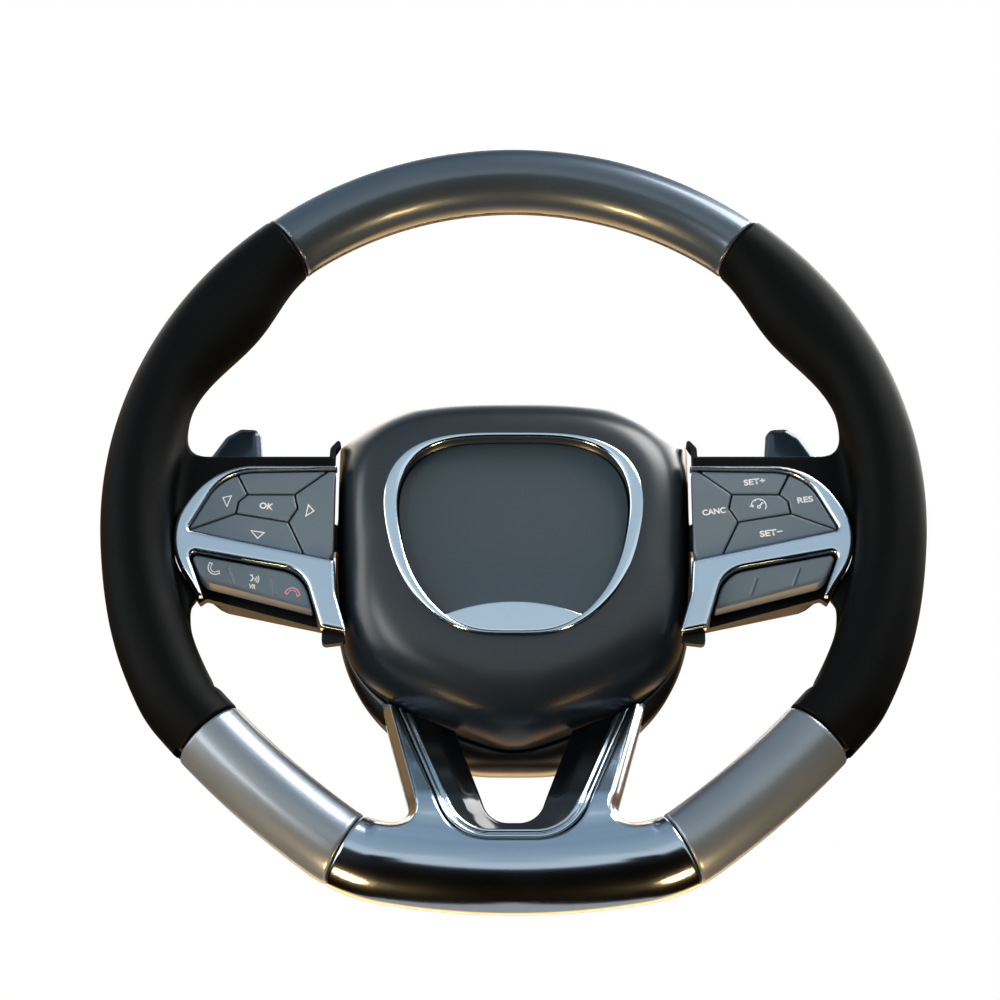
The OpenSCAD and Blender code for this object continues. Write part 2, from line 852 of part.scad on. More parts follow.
// Switch pods, drawn for the right-hand side. The bezel is one open outline
// round the pad of five keys and the lower bar.
bezel_outline = rounded([
    [81.4, 22.6, 0], [flank - 18.5, 22.7, 34], [flank + 4.5, -13, 31], [flank - 14.2, -42, 1],
    [flank - 16.2, -42, 0.6], [flank - 8.1, -19.9, 2.5], [95.3, -30.1, 16], [87, -57.6, 0.8],
    [74.6, -60.3, 1], [80.2, -41, 20], [81.3, -24.7, 0], [flank - 7.7, -9.5, 1.6],
    [flank - 23, 20, 24], [81.4, 20.9, 0]
]);
key_field = [[81.8, 20.9, 0], [81.8, -24.2, 0], [flank - 7.7, -9.5, 1.6], [flank - 23, 20, 24]];
centre_key = [[122, 8.6], [100.4, 8.6], [98.8, 1.5], [102.9, -5.3], [127.1, -1.1], [126, 5]];
upper_outer = [127, 18.8];
upper_inner = [85.1, 20.9];
outer_corner = [flank - 7.7, -9.5];
lower_inner = [95.3, -21.3];
function past(a, b, d) = b + (b - a) / norm(b - a) * d;
far = 14;
key_cells = [
    [centre_key[0], past(centre_key[0], upper_outer, far), past(centre_key[1], upper_inner, far), centre_key[1]],
    [centre_key[3], past(centre_key[3], lower_inner, far), past(centre_key[4], outer_corner, far), centre_key[4]],
    [
        centre_key[4], past(centre_key[4], outer_corner, far), [flank + 13.5, 30],
        past(centre_key[0], upper_outer, far), centre_key[0], centre_key[5]
    ],
    [
        centre_key[1], past(centre_key[1], upper_inner, far), [70, 0],
        past(centre_key[3], lower_inner, far), centre_key[3], centre_key[2]
    ],
    centre_key
];
crown_r = 260;

// Gentle crown that all key faces share
module crown() {
    translate([0, key_face + crown_r, 0])
        rotate([0, 90, 0]) cylinder(r = crown_r, h = big, $fn = 360);
}

module key(cell) {
    intersection() {
        slab(0, key_face + key_height) polygon(shrunk(key_field, key_gap));
        slab(0, key_face + key_height) polygon(inset(reverse_if_clockwise(cell), key_gap));
        crown();
    }
}
function area(p) = [for (i = [0:len(p) - 1])
    let (a = p[i], b = p[(i + 1) % len(p)]) a[0] * b[1] - a[1] * b[0]] * [for (i = p) 1];
function reverse_if_clockwise(p) = area(p) < 0 ? reverse(p) : p;

module right_key(i) color("#4b5866") rim_frame() key(key_cells[i]);
module left_key(i) left_half() right_key(i);
module key_right_up() right_key(0);
module key_right_down() right_key(1);
module key_right_outer() right_key(2);
module key_right_inner() right_key(3);
module key_right_centre() right_key(4);
module key_left_up() left_key(0);
module key_left_down() left_key(1);
module key_left_outer() left_key(2);
module key_left_inner() left_key(3);
module key_left_centre() left_key(4);

module pod_bezel() {
    color("#9fb4c4") rim_frame()
        slab(bezel_face, bezel_face + bezel_thick) polygon(bezel_outline);
}
module pod_bezel_right() pod_bezel();
module pod_bezel_left() left_half() pod_bezel();

// Lower bar on its carrier. The bar rocks on an axle that lies across it.
bar_gap = 0.7;
bar_back = 18;
bar_wall = 1.6;
bar_field = [[flank - 8.1, -19.9, 2.5], [95.3, -30.1, 16], [90.1, -47.8, 1.2], [flank - 14.8, -33.9, 8]];
bar_mid = [118.5, -32.9];
bar_lean = 15.9;
axle_y = 14.5;
axle_r = 1.2;
axle_len = 8.8;
post_from = 2.8;
post_to = 4.2;
bar_reach = 28;
carrier_face = bar_back + bar_reach * tan(bar_tilt) + 0.42;
carrier_thick = 1.8;

module at_axle() {
    translate([bar_mid[0], axle_y, bar_mid[1]]) rotate([0, -bar_lean, 0]) children();
}

module bar() {
    color("#4b5866") rim_frame() {
        difference() {
            intersection() {
                slab(0, bar_back) polygon(shrunk(bar_field, bar_gap));
                crown();
            }
            slab(key_face + 3, bar_back + 1) polygon(shrunk(bar_field, bar_gap + bar_wall));
        }
        difference() {
            intersection() {
                at_axle() translate([-2.4, -8, -2.5]) cube([4.8, 10.4, 5]);
                slab(key_face + 2, bar_back) polygon(shrunk(bar_field, bar_gap + bar_wall / 2));
            }
            at_axle() cylinder(r = axle_r + 0.06, h = 20, center = true, $fn = 32);
        }
    }
}
module bar_right() bar();
module bar_left() left_half() bar();

module bar_carrier() {
    color("#202225") rim_frame() {
        slab(carrier_face, carrier_face + carrier_thick)
            polygon(shrunk(bar_field, bar_gap + bar_wall + 0.8));
        at_axle()
            for (side = [0, 1])
                mirror([0, 0, side])
                    translate([-2, -1.8, post_from])
                        cube([4, carrier_face - axle_y + 2.4, post_to - post_from]);
        at_axle() cylinder(r = axle_r, h = axle_len, center = true, $fn = 32);
    }
}
module bar_carrier_right() bar_carrier();
module bar_carrier_left() left_half() bar_carrier();

// Housing behind the bezel, with a pocket for the keys and one for the bar
housing_front = bezel_face + bezel_thick + fit;
housing_back = 27;
key_floor = key_face + key_height + key_travel + 0.3;
bar_floor = carrier_face + carrier_thick + 1.4;
housing_outline = rounded([
    [83.2, 22.4, 0], [83.2, -50.5, 0], [90, -50.5, 2], [flank - 15.8, -36.2, 2], [flank - 12.9, -38.5, 0.5],
    [flank + 4.1, -13, 31], [flank - 18.7, 22.4, 34]
]);

module pod_housing() {
    color("#131416") rim_frame() {
        difference() {
            slab(housing_front, housing_back) polygon(housing_outline);
            slab(housing_front - 1, key_floor) polygon(shrunk(key_field, -0.1));
            slab(housing_front - 1, bar_floor)
                polygon([[flank - 6.5, -19], [94, -29.5], [86, -64], [flank - 6.5, -64]]);
            for (p = screw_places)
                slab(20, housing_back + 1) translate(p) circle(r = screw_r + 0.06, $fn = 32);
            side_rib_solid(fit);
        }
        slab(housing_front, 13)
            polygon(rounded([[79.6, -50, 0], [75.2, -63, 2], [86.4, -64.5, 2], [86.4, -40, 0], [84, -26, 0], [83, -26, 0]]));
        slab(17, 23)
            polygon(rounded([[83.2, 18, 0], [86.6, 18, 0], [85.6, 38, 3], [81.6, 42.6, 1], [80.8, 40.6, 0], [83.2, 36.5, 0]]));
    }
}
module pod_housing_right() pod_housing();
module pod_housing_left() left_half() pod_housing();

// Paddles behind the spokes, each on a pin in its base
blade_reach = 56;
paddle_face = arm_back + blade_reach * tan(paddle_pull) + paddle_gap;
pivot = [97, paddle_face + paddle_thick];
knuckle_r = 4;
knuckle_h = 15;
ear_gap = 0.5;
ear_thick = 3;
blade_outline = rounded([
    [97, 6.6, 0], [97, -6.6, 0], [105, -8, 4], [112, -22, 8], [146, -24, 12], [153, 0, 22],
    [150.5, 40.5, 6], [138.5, 59.6, 6], [131.5, 64, 4], [121, 63.5, 5], [117.5, 25, 8], [105, 8, 4]
]);

module at_pivot() translate([pivot[0], pivot[1], 0]) children();

module paddle() {
    color("#5a6b7d") rim_frame() difference() {
        union() {
            slab(paddle_face, paddle_face + paddle_thick) polygon(blade_outline);
            at_pivot() cylinder(r = knuckle_r, h = knuckle_h, center = true, $fn = 48);
        }
        at_pivot() cylinder(r = pin_r + pin_clear, h = knuckle_h + 20, center = true, $fn = 48);
        at_pivot() cylinder(r = knuckle_r + 1, h = 6.4, center = true, $fn = 48);
    }
}
module paddle_right() paddle();
module paddle_left() left_half() paddle();

module paddle_base() {
    ear_z = knuckle_h / 2 + ear_gap;
    color("#222428") rim_frame() {
        slab(arm_back + 0.2, arm_back + 2.6)
            polygon(rounded([[92.6, 16, 2], [92.6, -16, 2], [103, -16, 2], [103, 16, 2]]));
        for (side = [0, 1])
            mirror([0, 0, side])
                difference() {
                    union() {
                        translate([pivot[0], pivot[1], ear_z]) cylinder(r = 4.2, h = ear_thick, $fn = 48);
                        translate([pivot[0] - 4.2, arm_back + 1, ear_z]) cube([8.4, pivot[1] - arm_back - 1, ear_thick]);
                    }
                    at_pivot() cylinder(r = pin_r + 0.02, h = 60, center = true, $fn = 48);
                }
    }
}
module paddle_base_right() paddle_base();
module paddle_base_left() left_half() paddle_base();

module paddle_pins() {
    color("#c8cacc") rim_frame()
        both_sides()
            at_pivot() cylinder(r = pin_r, h = knuckle_h + 2 * (ear_gap + ear_thick), center = true, $fn = 48);
}

module paddle_springs() {
    color("#b5b7ba") rim_frame()
        both_sides()
            at_pivot() translate([0, 0, -2.5]) coil(0.8, pin_r + 1, 1.25, 4);
}

armature();
hub_boss();
rim_foam();
grip_left();
grip_right();
rim_cap_front();
rim_cap_rear();
band_left();
band_right();
bottom_bezel();
bottom_rear_shell();
bottom_trim_strip();
bottom_inner_plate();
rear_cover();
spoke_tray_left();
spoke_tray_right();
pad_cover();
pad_ring();
pad_panel();
airbag_can();
airbag_cushion();
inflator();
horn_springs();
cover_screws();
pod_bezel_left();
pod_bezel_right();
pod_housing_left();
pod_housing_right();
key_left_up();
key_left_down();
key_left_outer();
key_left_inner();
key_left_centre();
key_right_up();
key_right_down();
key_right_outer();
key_right_inner();
key_right_centre();
bar_left();
bar_right();
bar_carrier_left();
bar_carrier_right();
paddle_left();
paddle_right();
paddle_base_left();
paddle_base_right();
paddle_pins();
paddle_springs();
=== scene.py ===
"""Looks of a flat-bottomed car steering wheel with switch pods and shift paddles.

All pieces are modelled in the rim's own frame in millimetres: X to the right, Z up
and Y from the driver to the column, with Y = 0 in the middle plane of the rim. The
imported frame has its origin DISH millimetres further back, at the hub seat.
"""

import logging
import math
from dataclasses import dataclass, field
from enum import Enum
from functools import partial
from itertools import product
from typing import Callable, Sequence

import bmesh
import bpy
import numpy as np
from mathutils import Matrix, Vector


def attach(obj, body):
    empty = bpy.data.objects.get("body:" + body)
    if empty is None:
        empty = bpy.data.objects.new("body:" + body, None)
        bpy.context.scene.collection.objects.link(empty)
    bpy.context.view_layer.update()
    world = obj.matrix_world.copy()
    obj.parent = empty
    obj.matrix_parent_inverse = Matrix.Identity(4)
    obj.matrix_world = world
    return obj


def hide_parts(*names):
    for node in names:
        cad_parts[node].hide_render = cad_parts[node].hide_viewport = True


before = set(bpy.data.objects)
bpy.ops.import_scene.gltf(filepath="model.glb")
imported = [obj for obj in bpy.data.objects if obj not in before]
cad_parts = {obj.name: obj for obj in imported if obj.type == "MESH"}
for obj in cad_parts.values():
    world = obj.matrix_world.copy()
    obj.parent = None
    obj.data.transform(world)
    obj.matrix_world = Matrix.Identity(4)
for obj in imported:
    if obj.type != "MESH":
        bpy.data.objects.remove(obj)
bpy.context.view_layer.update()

log = logging.getLogger("steering_wheel")
logging.basicConfig(level=logging.INFO, format="%(name)s: %(message)s")

MM = 0.001
DISH = 70.0
KEY_FACE = 5.0
KEY_CROWN_R = 260.0
KEY_TEXT_TILT = 8.0
Points = np.ndarray
Field = Callable[[Points], np.ndarray]
Vec = Sequence[float]
Outline = Sequence[Sequence[float]]


class Side(Enum):
    """The two mirrored sides of the wheel."""

    LEFT = "left"
    RIGHT = "right"

    @property
    def sign(self) -> float:
        """Sign of X on this side."""
        return -1.0 if self is Side.LEFT else 1.0


class Body(Enum):
    """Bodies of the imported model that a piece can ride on."""

    WHEEL = "wheel"
    PAD = "hub_pad"


def unit(angle: float) -> np.ndarray:
    """Unit vector at an angle in degrees."""
    return np.array([math.cos(math.radians(angle)), math.sin(math.radians(angle))])


def rounded(corners: Outline, step: float = 6.0) -> np.ndarray:
    """Outline whose corners are rounded by their own radius.

    Args:
        corners: rows of x, z and radius.
        step: largest turn of one facet of an arc, in degrees.

    Returns:
        The points of the closed outline.
    """
    out: list[np.ndarray] = []
    n = len(corners)
    for i, (x, z, r) in enumerate(corners):
        p = np.array([x, z], float)
        if r <= 0:
            out.append(p)
            continue
        a = np.array(corners[i - 1][:2], float)
        b = np.array(corners[(i + 1) % n][:2], float)
        u = (a - p) / np.linalg.norm(a - p)
        v = (b - p) / np.linalg.norm(b - p)
        half = math.acos(float(np.clip(u @ v, -1, 1))) / 2
        bisector = (u + v) / np.linalg.norm(u + v)
        centre = p + bisector * r / math.sin(half)
        s = p + u * r / math.tan(half) - centre
        e = p + v * r / math.tan(half) - centre
        start = math.atan2(s[1], s[0])
        turn = math.atan2(s[0] * e[1] - s[1] * e[0], float(s @ e))
        count = max(2, round(abs(math.degrees(turn)) / step))
        for k in range(count + 1):
            w = start + turn * k / count
            out.append(centre + r * np.array([math.cos(w), math.sin(w)]))
    return np.array(out)


def outline_distance(outline: np.ndarray, x: np.ndarray, z: np.ndarray) -> np.ndarray:
    """Signed distance to a closed outline, negative inside.

    Args:
        outline: points of the outline, in order.
        x: first coordinates of the places asked for.
        z: second coordinates.

    Returns:
        One distance per place.
    """
    best = np.full(x.shape, 1e12)
    inside = np.zeros(x.shape, bool)
    last = outline[-1]
    for p in outline:
        ex, ez = p[0] - last[0], p[1] - last[1]
        wx, wz = x - last[0], z - last[1]
        t = np.clip((wx * ex + wz * ez) / max(ex * ex + ez * ez, 1e-12), 0, 1)
        np.minimum(best, (wx - t * ex) ** 2 + (wz - t * ez) ** 2, out=best)
        if ez != 0:
            cross = ((last[1] > z) != (p[1] > z)) & (x < last[0] + ex * wz / ez)
            inside ^= cross
        last = p
    d = np.sqrt(best)
    return np.where(inside, -d, d)


def smooth_max(a: np.ndarray, b: np.ndarray, k: float) -> np.ndarray:
    """Larger of two fields with the edge between them rounded.

    Args:
        a: first field's values.
        b: second field's values.
        k: width over which the edge is rounded.

    Returns:
        The joined values.
    """
    if k <= 0:
        return np.maximum(a, b)
    h = np.maximum(k - np.abs(a - b), 0) / k
    return np.maximum(a, b) + h * h * k / 4


def smooth_min(a: np.ndarray, b: np.ndarray, k: float) -> np.ndarray:
    """Smaller of two fields with a fillet of about k between them."""
    return -smooth_max(-a, -b, k)


def ease(t: np.ndarray) -> np.ndarray:
    """Smooth step from 0 to 1."""
    k = np.clip(t, 0, 1)
    return k * k * (3 - 2 * k)


def extended(a: np.ndarray, b: Vec, by: float) -> np.ndarray:
    """Point on the line from a through b, past b."""
    return np.array(b) + (np.array(b) - a) / np.linalg.norm(np.array(b) - a) * by


def key_crown(z: np.ndarray) -> np.ndarray:
    """Depth of the keys' crowned faces at a height."""
    return KEY_FACE + KEY_CROWN_R - np.sqrt(KEY_CROWN_R ** 2 - z ** 2)


@dataclass(frozen=True)
class Arc:
    """One arc of the rim's middle line, by the direction of its outward normal."""

    centre: np.ndarray
    radius: float
    low: float
    high: float


@dataclass
class RimPath:
    """Middle line of the rim: an upper half circle and five arcs to the flat bottom."""

    radius: float = 172.3
    shoulder: tuple[float, float] = (198.0, 27.0)
    knee: tuple[float, float] = (48.0, 14.0)
    flank: tuple[float, float] = (410.0, 12.4)
    corner: tuple[float, float] = (58.0, 26.6)
    half: float = 15.8
    half_low: float = 17.2
    thicker_from: float = -6.0
    thicker_over: float = 16.0
    depth: float = 16.0
    swell: float = 8.7
    thumb_at: float = 36.0
    thumb_spread: float = 18.0
    swell_width: float = 4.0
    arcs: list[Arc] = field(default_factory=list)

    def __post_init__(self) -> None:
        """Lays the arcs end to end."""
        centre, radius, at = np.zeros(2), self.radius, 0.0
        self.arcs.append(Arc(centre, radius, 0.0, 90.0))
        for r, turn in (self.shoulder, self.knee, self.flank, self.corner):
            centre = centre + (radius - r) * unit(at)
            self.arcs.append(Arc(centre, r, at - turn, at))
            radius, at = r, at - turn
        r = radius + centre[0] / math.cos(math.radians(at))
        self.arcs.append(Arc(centre + (radius - r) * unit(at), r, -90.0, at))

    def point(self, angle: float) -> np.ndarray:
        """Point of the middle line of the right half.

        Args:
            angle: direction of the outward normal, in degrees.

        Returns:
            The point's X and Z.
        """
        for arc in self.arcs:
            if arc.low <= angle <= arc.high:
                return arc.centre + arc.radius * unit(angle)
        return self.arcs[-1].centre + self.arcs[-1].radius * unit(angle)

    def nearest(self, x: np.ndarray, z: np.ndarray) -> tuple[np.ndarray, np.ndarray]:
        """Finds the nearest places of the middle line.

        Args:
            x: first coordinates of the places asked for.
            z: second coordinates.

        Returns:
            Outward offsets from the middle line, and angles of its normal in degrees.
        """
        best, offset, angle = np.full(x.shape, 1e12), np.zeros(x.shape), np.zeros(x.shape)
        for arc in self.arcs:
            dx, dz = np.abs(x) - arc.centre[0], z - arc.centre[1]
            a = np.clip(np.degrees(np.arctan2(dz, dx)), arc.low, arc.high)
            ca, sa = np.cos(np.radians(a)), np.sin(np.radians(a))
            px, pz = dx - arc.radius * ca, dz - arc.radius * sa
            d2 = px * px + pz * pz
            near = d2 < best
            best = np.where(near, d2, best)
            offset = np.where(near, px * ca + pz * sa, offset)
            angle = np.where(near, a, angle)
        return offset, angle

    def half_at(self, angle: np.ndarray) -> np.ndarray:
        """Half thickness across the rim."""
        past = (self.thicker_from - angle) / self.thicker_over
        return self.half + (self.half_low - self.half) * ease(past)

    def swell_at(self, angle: np.ndarray) -> np.ndarray:
        """Swelling of the thumb rests towards the hub."""
        d = np.clip(np.abs(angle - self.thumb_at) / self.thumb_spread, 0, 1)
        return self.swell * (1 + np.cos(math.pi * d)) / 2

    def tube(self, p: Points, grow: float = 0.0) -> np.ndarray:
        """Field of the rim's skin.

        Args:
            p: places asked for.
            grow: how far the skin moves out.

        Returns:
            Distances, about right close to the skin.
        """
        offset, angle = self.nearest(p[:, 0], p[:, 2])
        inner = ease(0.5 - offset / self.swell_width)
        half = self.half_at(angle) + self.swell_at(angle) * inner + grow
        depth = self.depth + grow
        return (np.hypot(offset / half, p[:, 1] / depth) - 1) * depth

    def beyond(self, p: Points, angle: float) -> np.ndarray:
        """Distance past a cross section, towards the top of the wheel.

        Args:
            p: places asked for.
            angle: direction of the section's outward normal, in degrees.

        Returns:
            One distance for each place.
        """
        at, normal = self.point(angle), unit(angle)
        tangent = np.array([-normal[1], normal[0]])
        return (np.abs(p[:, 0]) - at[0]) * tangent[0] + (p[:, 2] - at[1]) * tangent[1]


RIM = RimPath()


def gradient(f: Field, p: Points, h: float) -> np.ndarray:
    """Gradient of a field by central differences.

    Args:
        f: the field.
        p: places asked for.
        h: half the step of the differences.

    Returns:
        One vector for each place.
    """
    g = np.empty_like(p)
    for axis in range(3):
        step = np.zeros(3)
        step[axis] = h
        g[:, axis] = (f(p + step) - f(p - step)) / (2 * h)
    return g


def crossing_means(values: np.ndarray, cells: np.ndarray) -> np.ndarray:
    """Mean place, in cells, where the zero surface crosses the edges of each cell.

    Args:
        values: field at the grid's points.
        cells: numbers of the cells that the surface passes through.

    Returns:
        One point for each cell.
    """
    total, hits = np.zeros((len(cells), 3)), np.zeros(len(cells))
    for axis, u, v in product(range(3), (0, 1), (0, 1)):
        a = cells.copy()
        a[:, [k for k in range(3) if k != axis]] += (u, v)
        b = a.copy()
        b[:, axis] += 1
        fa, fb = values[tuple(a.T)], values[tuple(b.T)]
        crossed = (fa < 0) != (fb < 0)
        at = a.astype(float)
        at[:, axis] += np.where(crossed, fa / np.where(crossed, fa - fb, 1), 0)
        total += at * crossed[:, None]
        hits += crossed
    return total / hits[:, None]


def net_faces(inside: np.ndarray, number: np.ndarray) -> np.ndarray:
    """Faces across the grid's edges that pass through the surface.

    Args:
        inside: whether each point of the grid is inside.
        number: number of each cell's point.

    Returns:
        Four point numbers for each face, turned outwards.
    """
    n = inside.shape
    faces = []
    for axis in range(3):
        others = [k for k in range(3) if k != axis]
        first, second = [slice(None)] * 3, [slice(None)] * 3
        first[axis], second[axis] = slice(0, n[axis] - 1), slice(1, n[axis])
        for k in others:
            first[k] = second[k] = slice(1, n[k] - 1)
        base = np.argwhere(inside[tuple(first)] != inside[tuple(second)])
        base[:, others] += 1
        corners = []
        for shift in ((1, 1), (0, 1), (0, 0), (1, 0)):
            cell = base.copy()
            cell[:, others] -= shift
            corners.append(number[tuple(cell.T)])
        quad = np.stack(corners, -1)
        outward = inside[tuple(base.T)] != (axis == 1)
        quad[~outward] = quad[~outward][:, ::-1]
        faces.append(quad)
    return np.concatenate(faces)


def settled(f: Field, points: Points, cell: float, rounds: int = 4, longest: float = 0.6) -> Points:
    """Points moved along the gradient onto the zero surface.

    Args:
        f: the field.
        points: points close to its surface.
        cell: size of the net's cells.
        rounds: number of moves.
        longest: longest move, in cells.

    Returns:
        The moved points.
    """
    for _ in range(rounds):
        g = gradient(f, points, 0.15 * cell)
        step = (f(points) / np.maximum((g * g).sum(1), 1e-9))[:, None] * g
        size = np.linalg.norm(step, axis=1, keepdims=True)
        points = points - step * np.minimum(1, longest * cell / np.maximum(size, 1e-9))
    return points


def net_object(
    name: str, f: Field, low: Vec, high: Vec, cell: float, side: Side = Side.RIGHT
) -> bpy.types.Object:
    """Makes an object from the zero surface of a field, drawn for the right side.

    Args:
        name: the object's name.
        f: field, negative inside.
        low: lower corner of a box that holds the surface.
        high: upper corner.
        cell: size of the net's cells.
        side: the left side gets the mirrored mesh.

    Returns:
        The object, with the field's own normals.
    """
    low, high = np.array(low, float), np.array(high, float)
    n = np.ceil((high - low) / cell).astype(int) + 1
    axes = [low[i] + cell * np.arange(n[i]) for i in range(3)]
    plane = np.stack(np.meshgrid(axes[1], axes[2], indexing="ij"), -1).reshape(-1, 2)
    values = np.empty(n)
    for i, x in enumerate(axes[0]):
        values[i] = f(np.column_stack([np.full(len(plane), x), plane])).reshape(n[1], n[2])
    inside = values < 0
    count = np.zeros(n - 1, int)
    for dx, dy, dz in product((0, 1), repeat=3):
        count += inside[dx:n[0] - 1 + dx, dy:n[1] - 1 + dy, dz:n[2] - 1 + dz]
    cells = np.argwhere((count > 0) & (count < 8))
    number = np.full(n - 1, -1)
    number[tuple(cells.T)] = np.arange(len(cells))
    points = settled(f, low + cell * crossing_means(values, cells), cell)
    normals = gradient(f, points, 0.15 * cell)
    normals /= np.maximum(np.linalg.norm(normals, axis=1, keepdims=True), 1e-9)
    faces = net_faces(inside, number)
    if side is Side.LEFT:
        flip = np.array([-1.0, 1.0, 1.0])
        points, faces, normals = points * flip, faces[:, ::-1], normals * flip
    return make_object(name, points, faces, normals)


def linked(name: str, data: bpy.types.ID) -> bpy.types.Object:
    """Makes an object and links it to the scene.

    Args:
        name: the object's name.
        data: what it shows.

    Returns:
        The object.
    """
    obj = bpy.data.objects.new(name, data)
    bpy.context.collection.objects.link(obj)
    return obj


def make_object(
    name: str, points: np.ndarray, faces: Sequence, normals: np.ndarray | None = None
) -> bpy.types.Object:
    """Makes an object from points in rim millimetres.

    Args:
        name: the object's name.
        points: vertices in the rim's frame.
        faces: vertex numbers of each face.
        normals: unit normals of the vertices, if they are known.

    Returns:
        The object, linked to the scene.
    """
    mesh = bpy.data.meshes.new(name)
    placed = (np.asarray(points, float) - [0, DISH, 0]) * MM
    mesh.from_pydata(placed.tolist(), [], [list(map(int, f)) for f in faces])
    mesh.update()
    mesh.polygons.foreach_set("use_smooth", [True] * len(mesh.polygons))
    if normals is not None:
        mesh.normals_split_custom_set_from_vertices(normals.tolist())
    return linked(name, mesh)


def grid_faces(rows: int, cols: int, wrap: bool, close: bool = False) -> list[tuple[int, ...]]:
    """Faces of a grid of points.

    Args:
        rows: number of rows.
        cols: number of points in a row.
        wrap: whether each row is closed.
        close: whether the last row joins the first.

    Returns:
        The four-sided faces.
    """
    out = []
    for j in range(rows if close else rows - 1):
        for i in range(cols if wrap else cols - 1):
            a, b, k = j * cols, (j + 1) % rows * cols, (i + 1) % cols
            out.append((a + i, a + k, b + k, b + i))
    return out


def rows_object(name: str, rows: np.ndarray, close: bool = False) -> bpy.types.Object:
    """Makes a piece from closed rows of points.

    Args:
        name: the object's name.
        rows: array of rows, points and coordinates.
        close: whether the last row joins the first, or both are filled.

    Returns:
        The object.
    """
    m, n, _ = rows.shape
    faces: list = grid_faces(m, n, True, close)
    if not close:
        faces.append(tuple(range(n))[::-1])
        faces.append(tuple((m - 1) * n + i for i in range(n)))
    obj = make_object(name, rows.reshape(-1, 3), faces)
    mesh = bmesh.new()
    mesh.from_mesh(obj.data)
    bmesh.ops.recalc_face_normals(mesh, faces=mesh.faces)
    mesh.to_mesh(obj.data)
    mesh.free()
    return obj


def soften_edges(obj: bpy.types.Object, width: float = 0.35, angle: float = 35) -> None:
    """Joins an object's doubled points and rounds its sharp edges.

    Args:
        obj: the object.
        width: bevel width in millimetres.
        angle: edges sharper than this are rounded, in degrees.
    """
    obj.modifiers.new("weld", "WELD").merge_threshold = 0.00001
    bevel = obj.modifiers.new("edge", "BEVEL")
    bevel.width = width * MM
    bevel.segments = 2
    bevel.limit_method = "ANGLE"
    bevel.angle_limit = math.radians(angle)
    bevel.use_clamp_overlap = True
    obj.modifiers.new("normals", "WEIGHTED_NORMAL").keep_sharp = True


def linear(code: str) -> tuple[float, float, float, float]:
    """Turns a colour linear.

    Args:
        code: sRGB hex value.

    Returns:
        Red, green, blue and alpha.
    """
    parts = [int(code[i:i + 2], 16) / 255 for i in (1, 3, 5)]
    r, g, b = (c / 12.92 if c <= 0.04045 else ((c + 0.055) / 1.055) ** 2.4 for c in parts)
    return r, g, b, 1.0


def add_node(
    tree: bpy.types.NodeTree, kind: str, settings: dict | None = None, links: dict | None = None
) -> bpy.types.Node:
    """Adds a node with its settings and links.

    Args:
        tree: the node tree.
        kind: the node's type name.
        settings: attributes by name, or input values by socket name or number.
        links: output sockets by the input they feed.

    Returns:
        The node.
    """
    node = tree.nodes.new(kind)
    for key, value in (settings or {}).items():
        if isinstance(key, str) and hasattr(node, key):
            setattr(node, key, value)
        else:
            node.inputs[key].default_value = value
    for key, socket in (links or {}).items():
        tree.links.new(socket, node.inputs[key])
    return node


class Grain(Enum):
    """Fine relief of a surface."""

    LEATHER = "leather"
    MOULDED = "moulded"
    PEEL = "peel"
    CAST = "cast"
    BRUSHED = "brushed"
    CLOTH = "cloth"


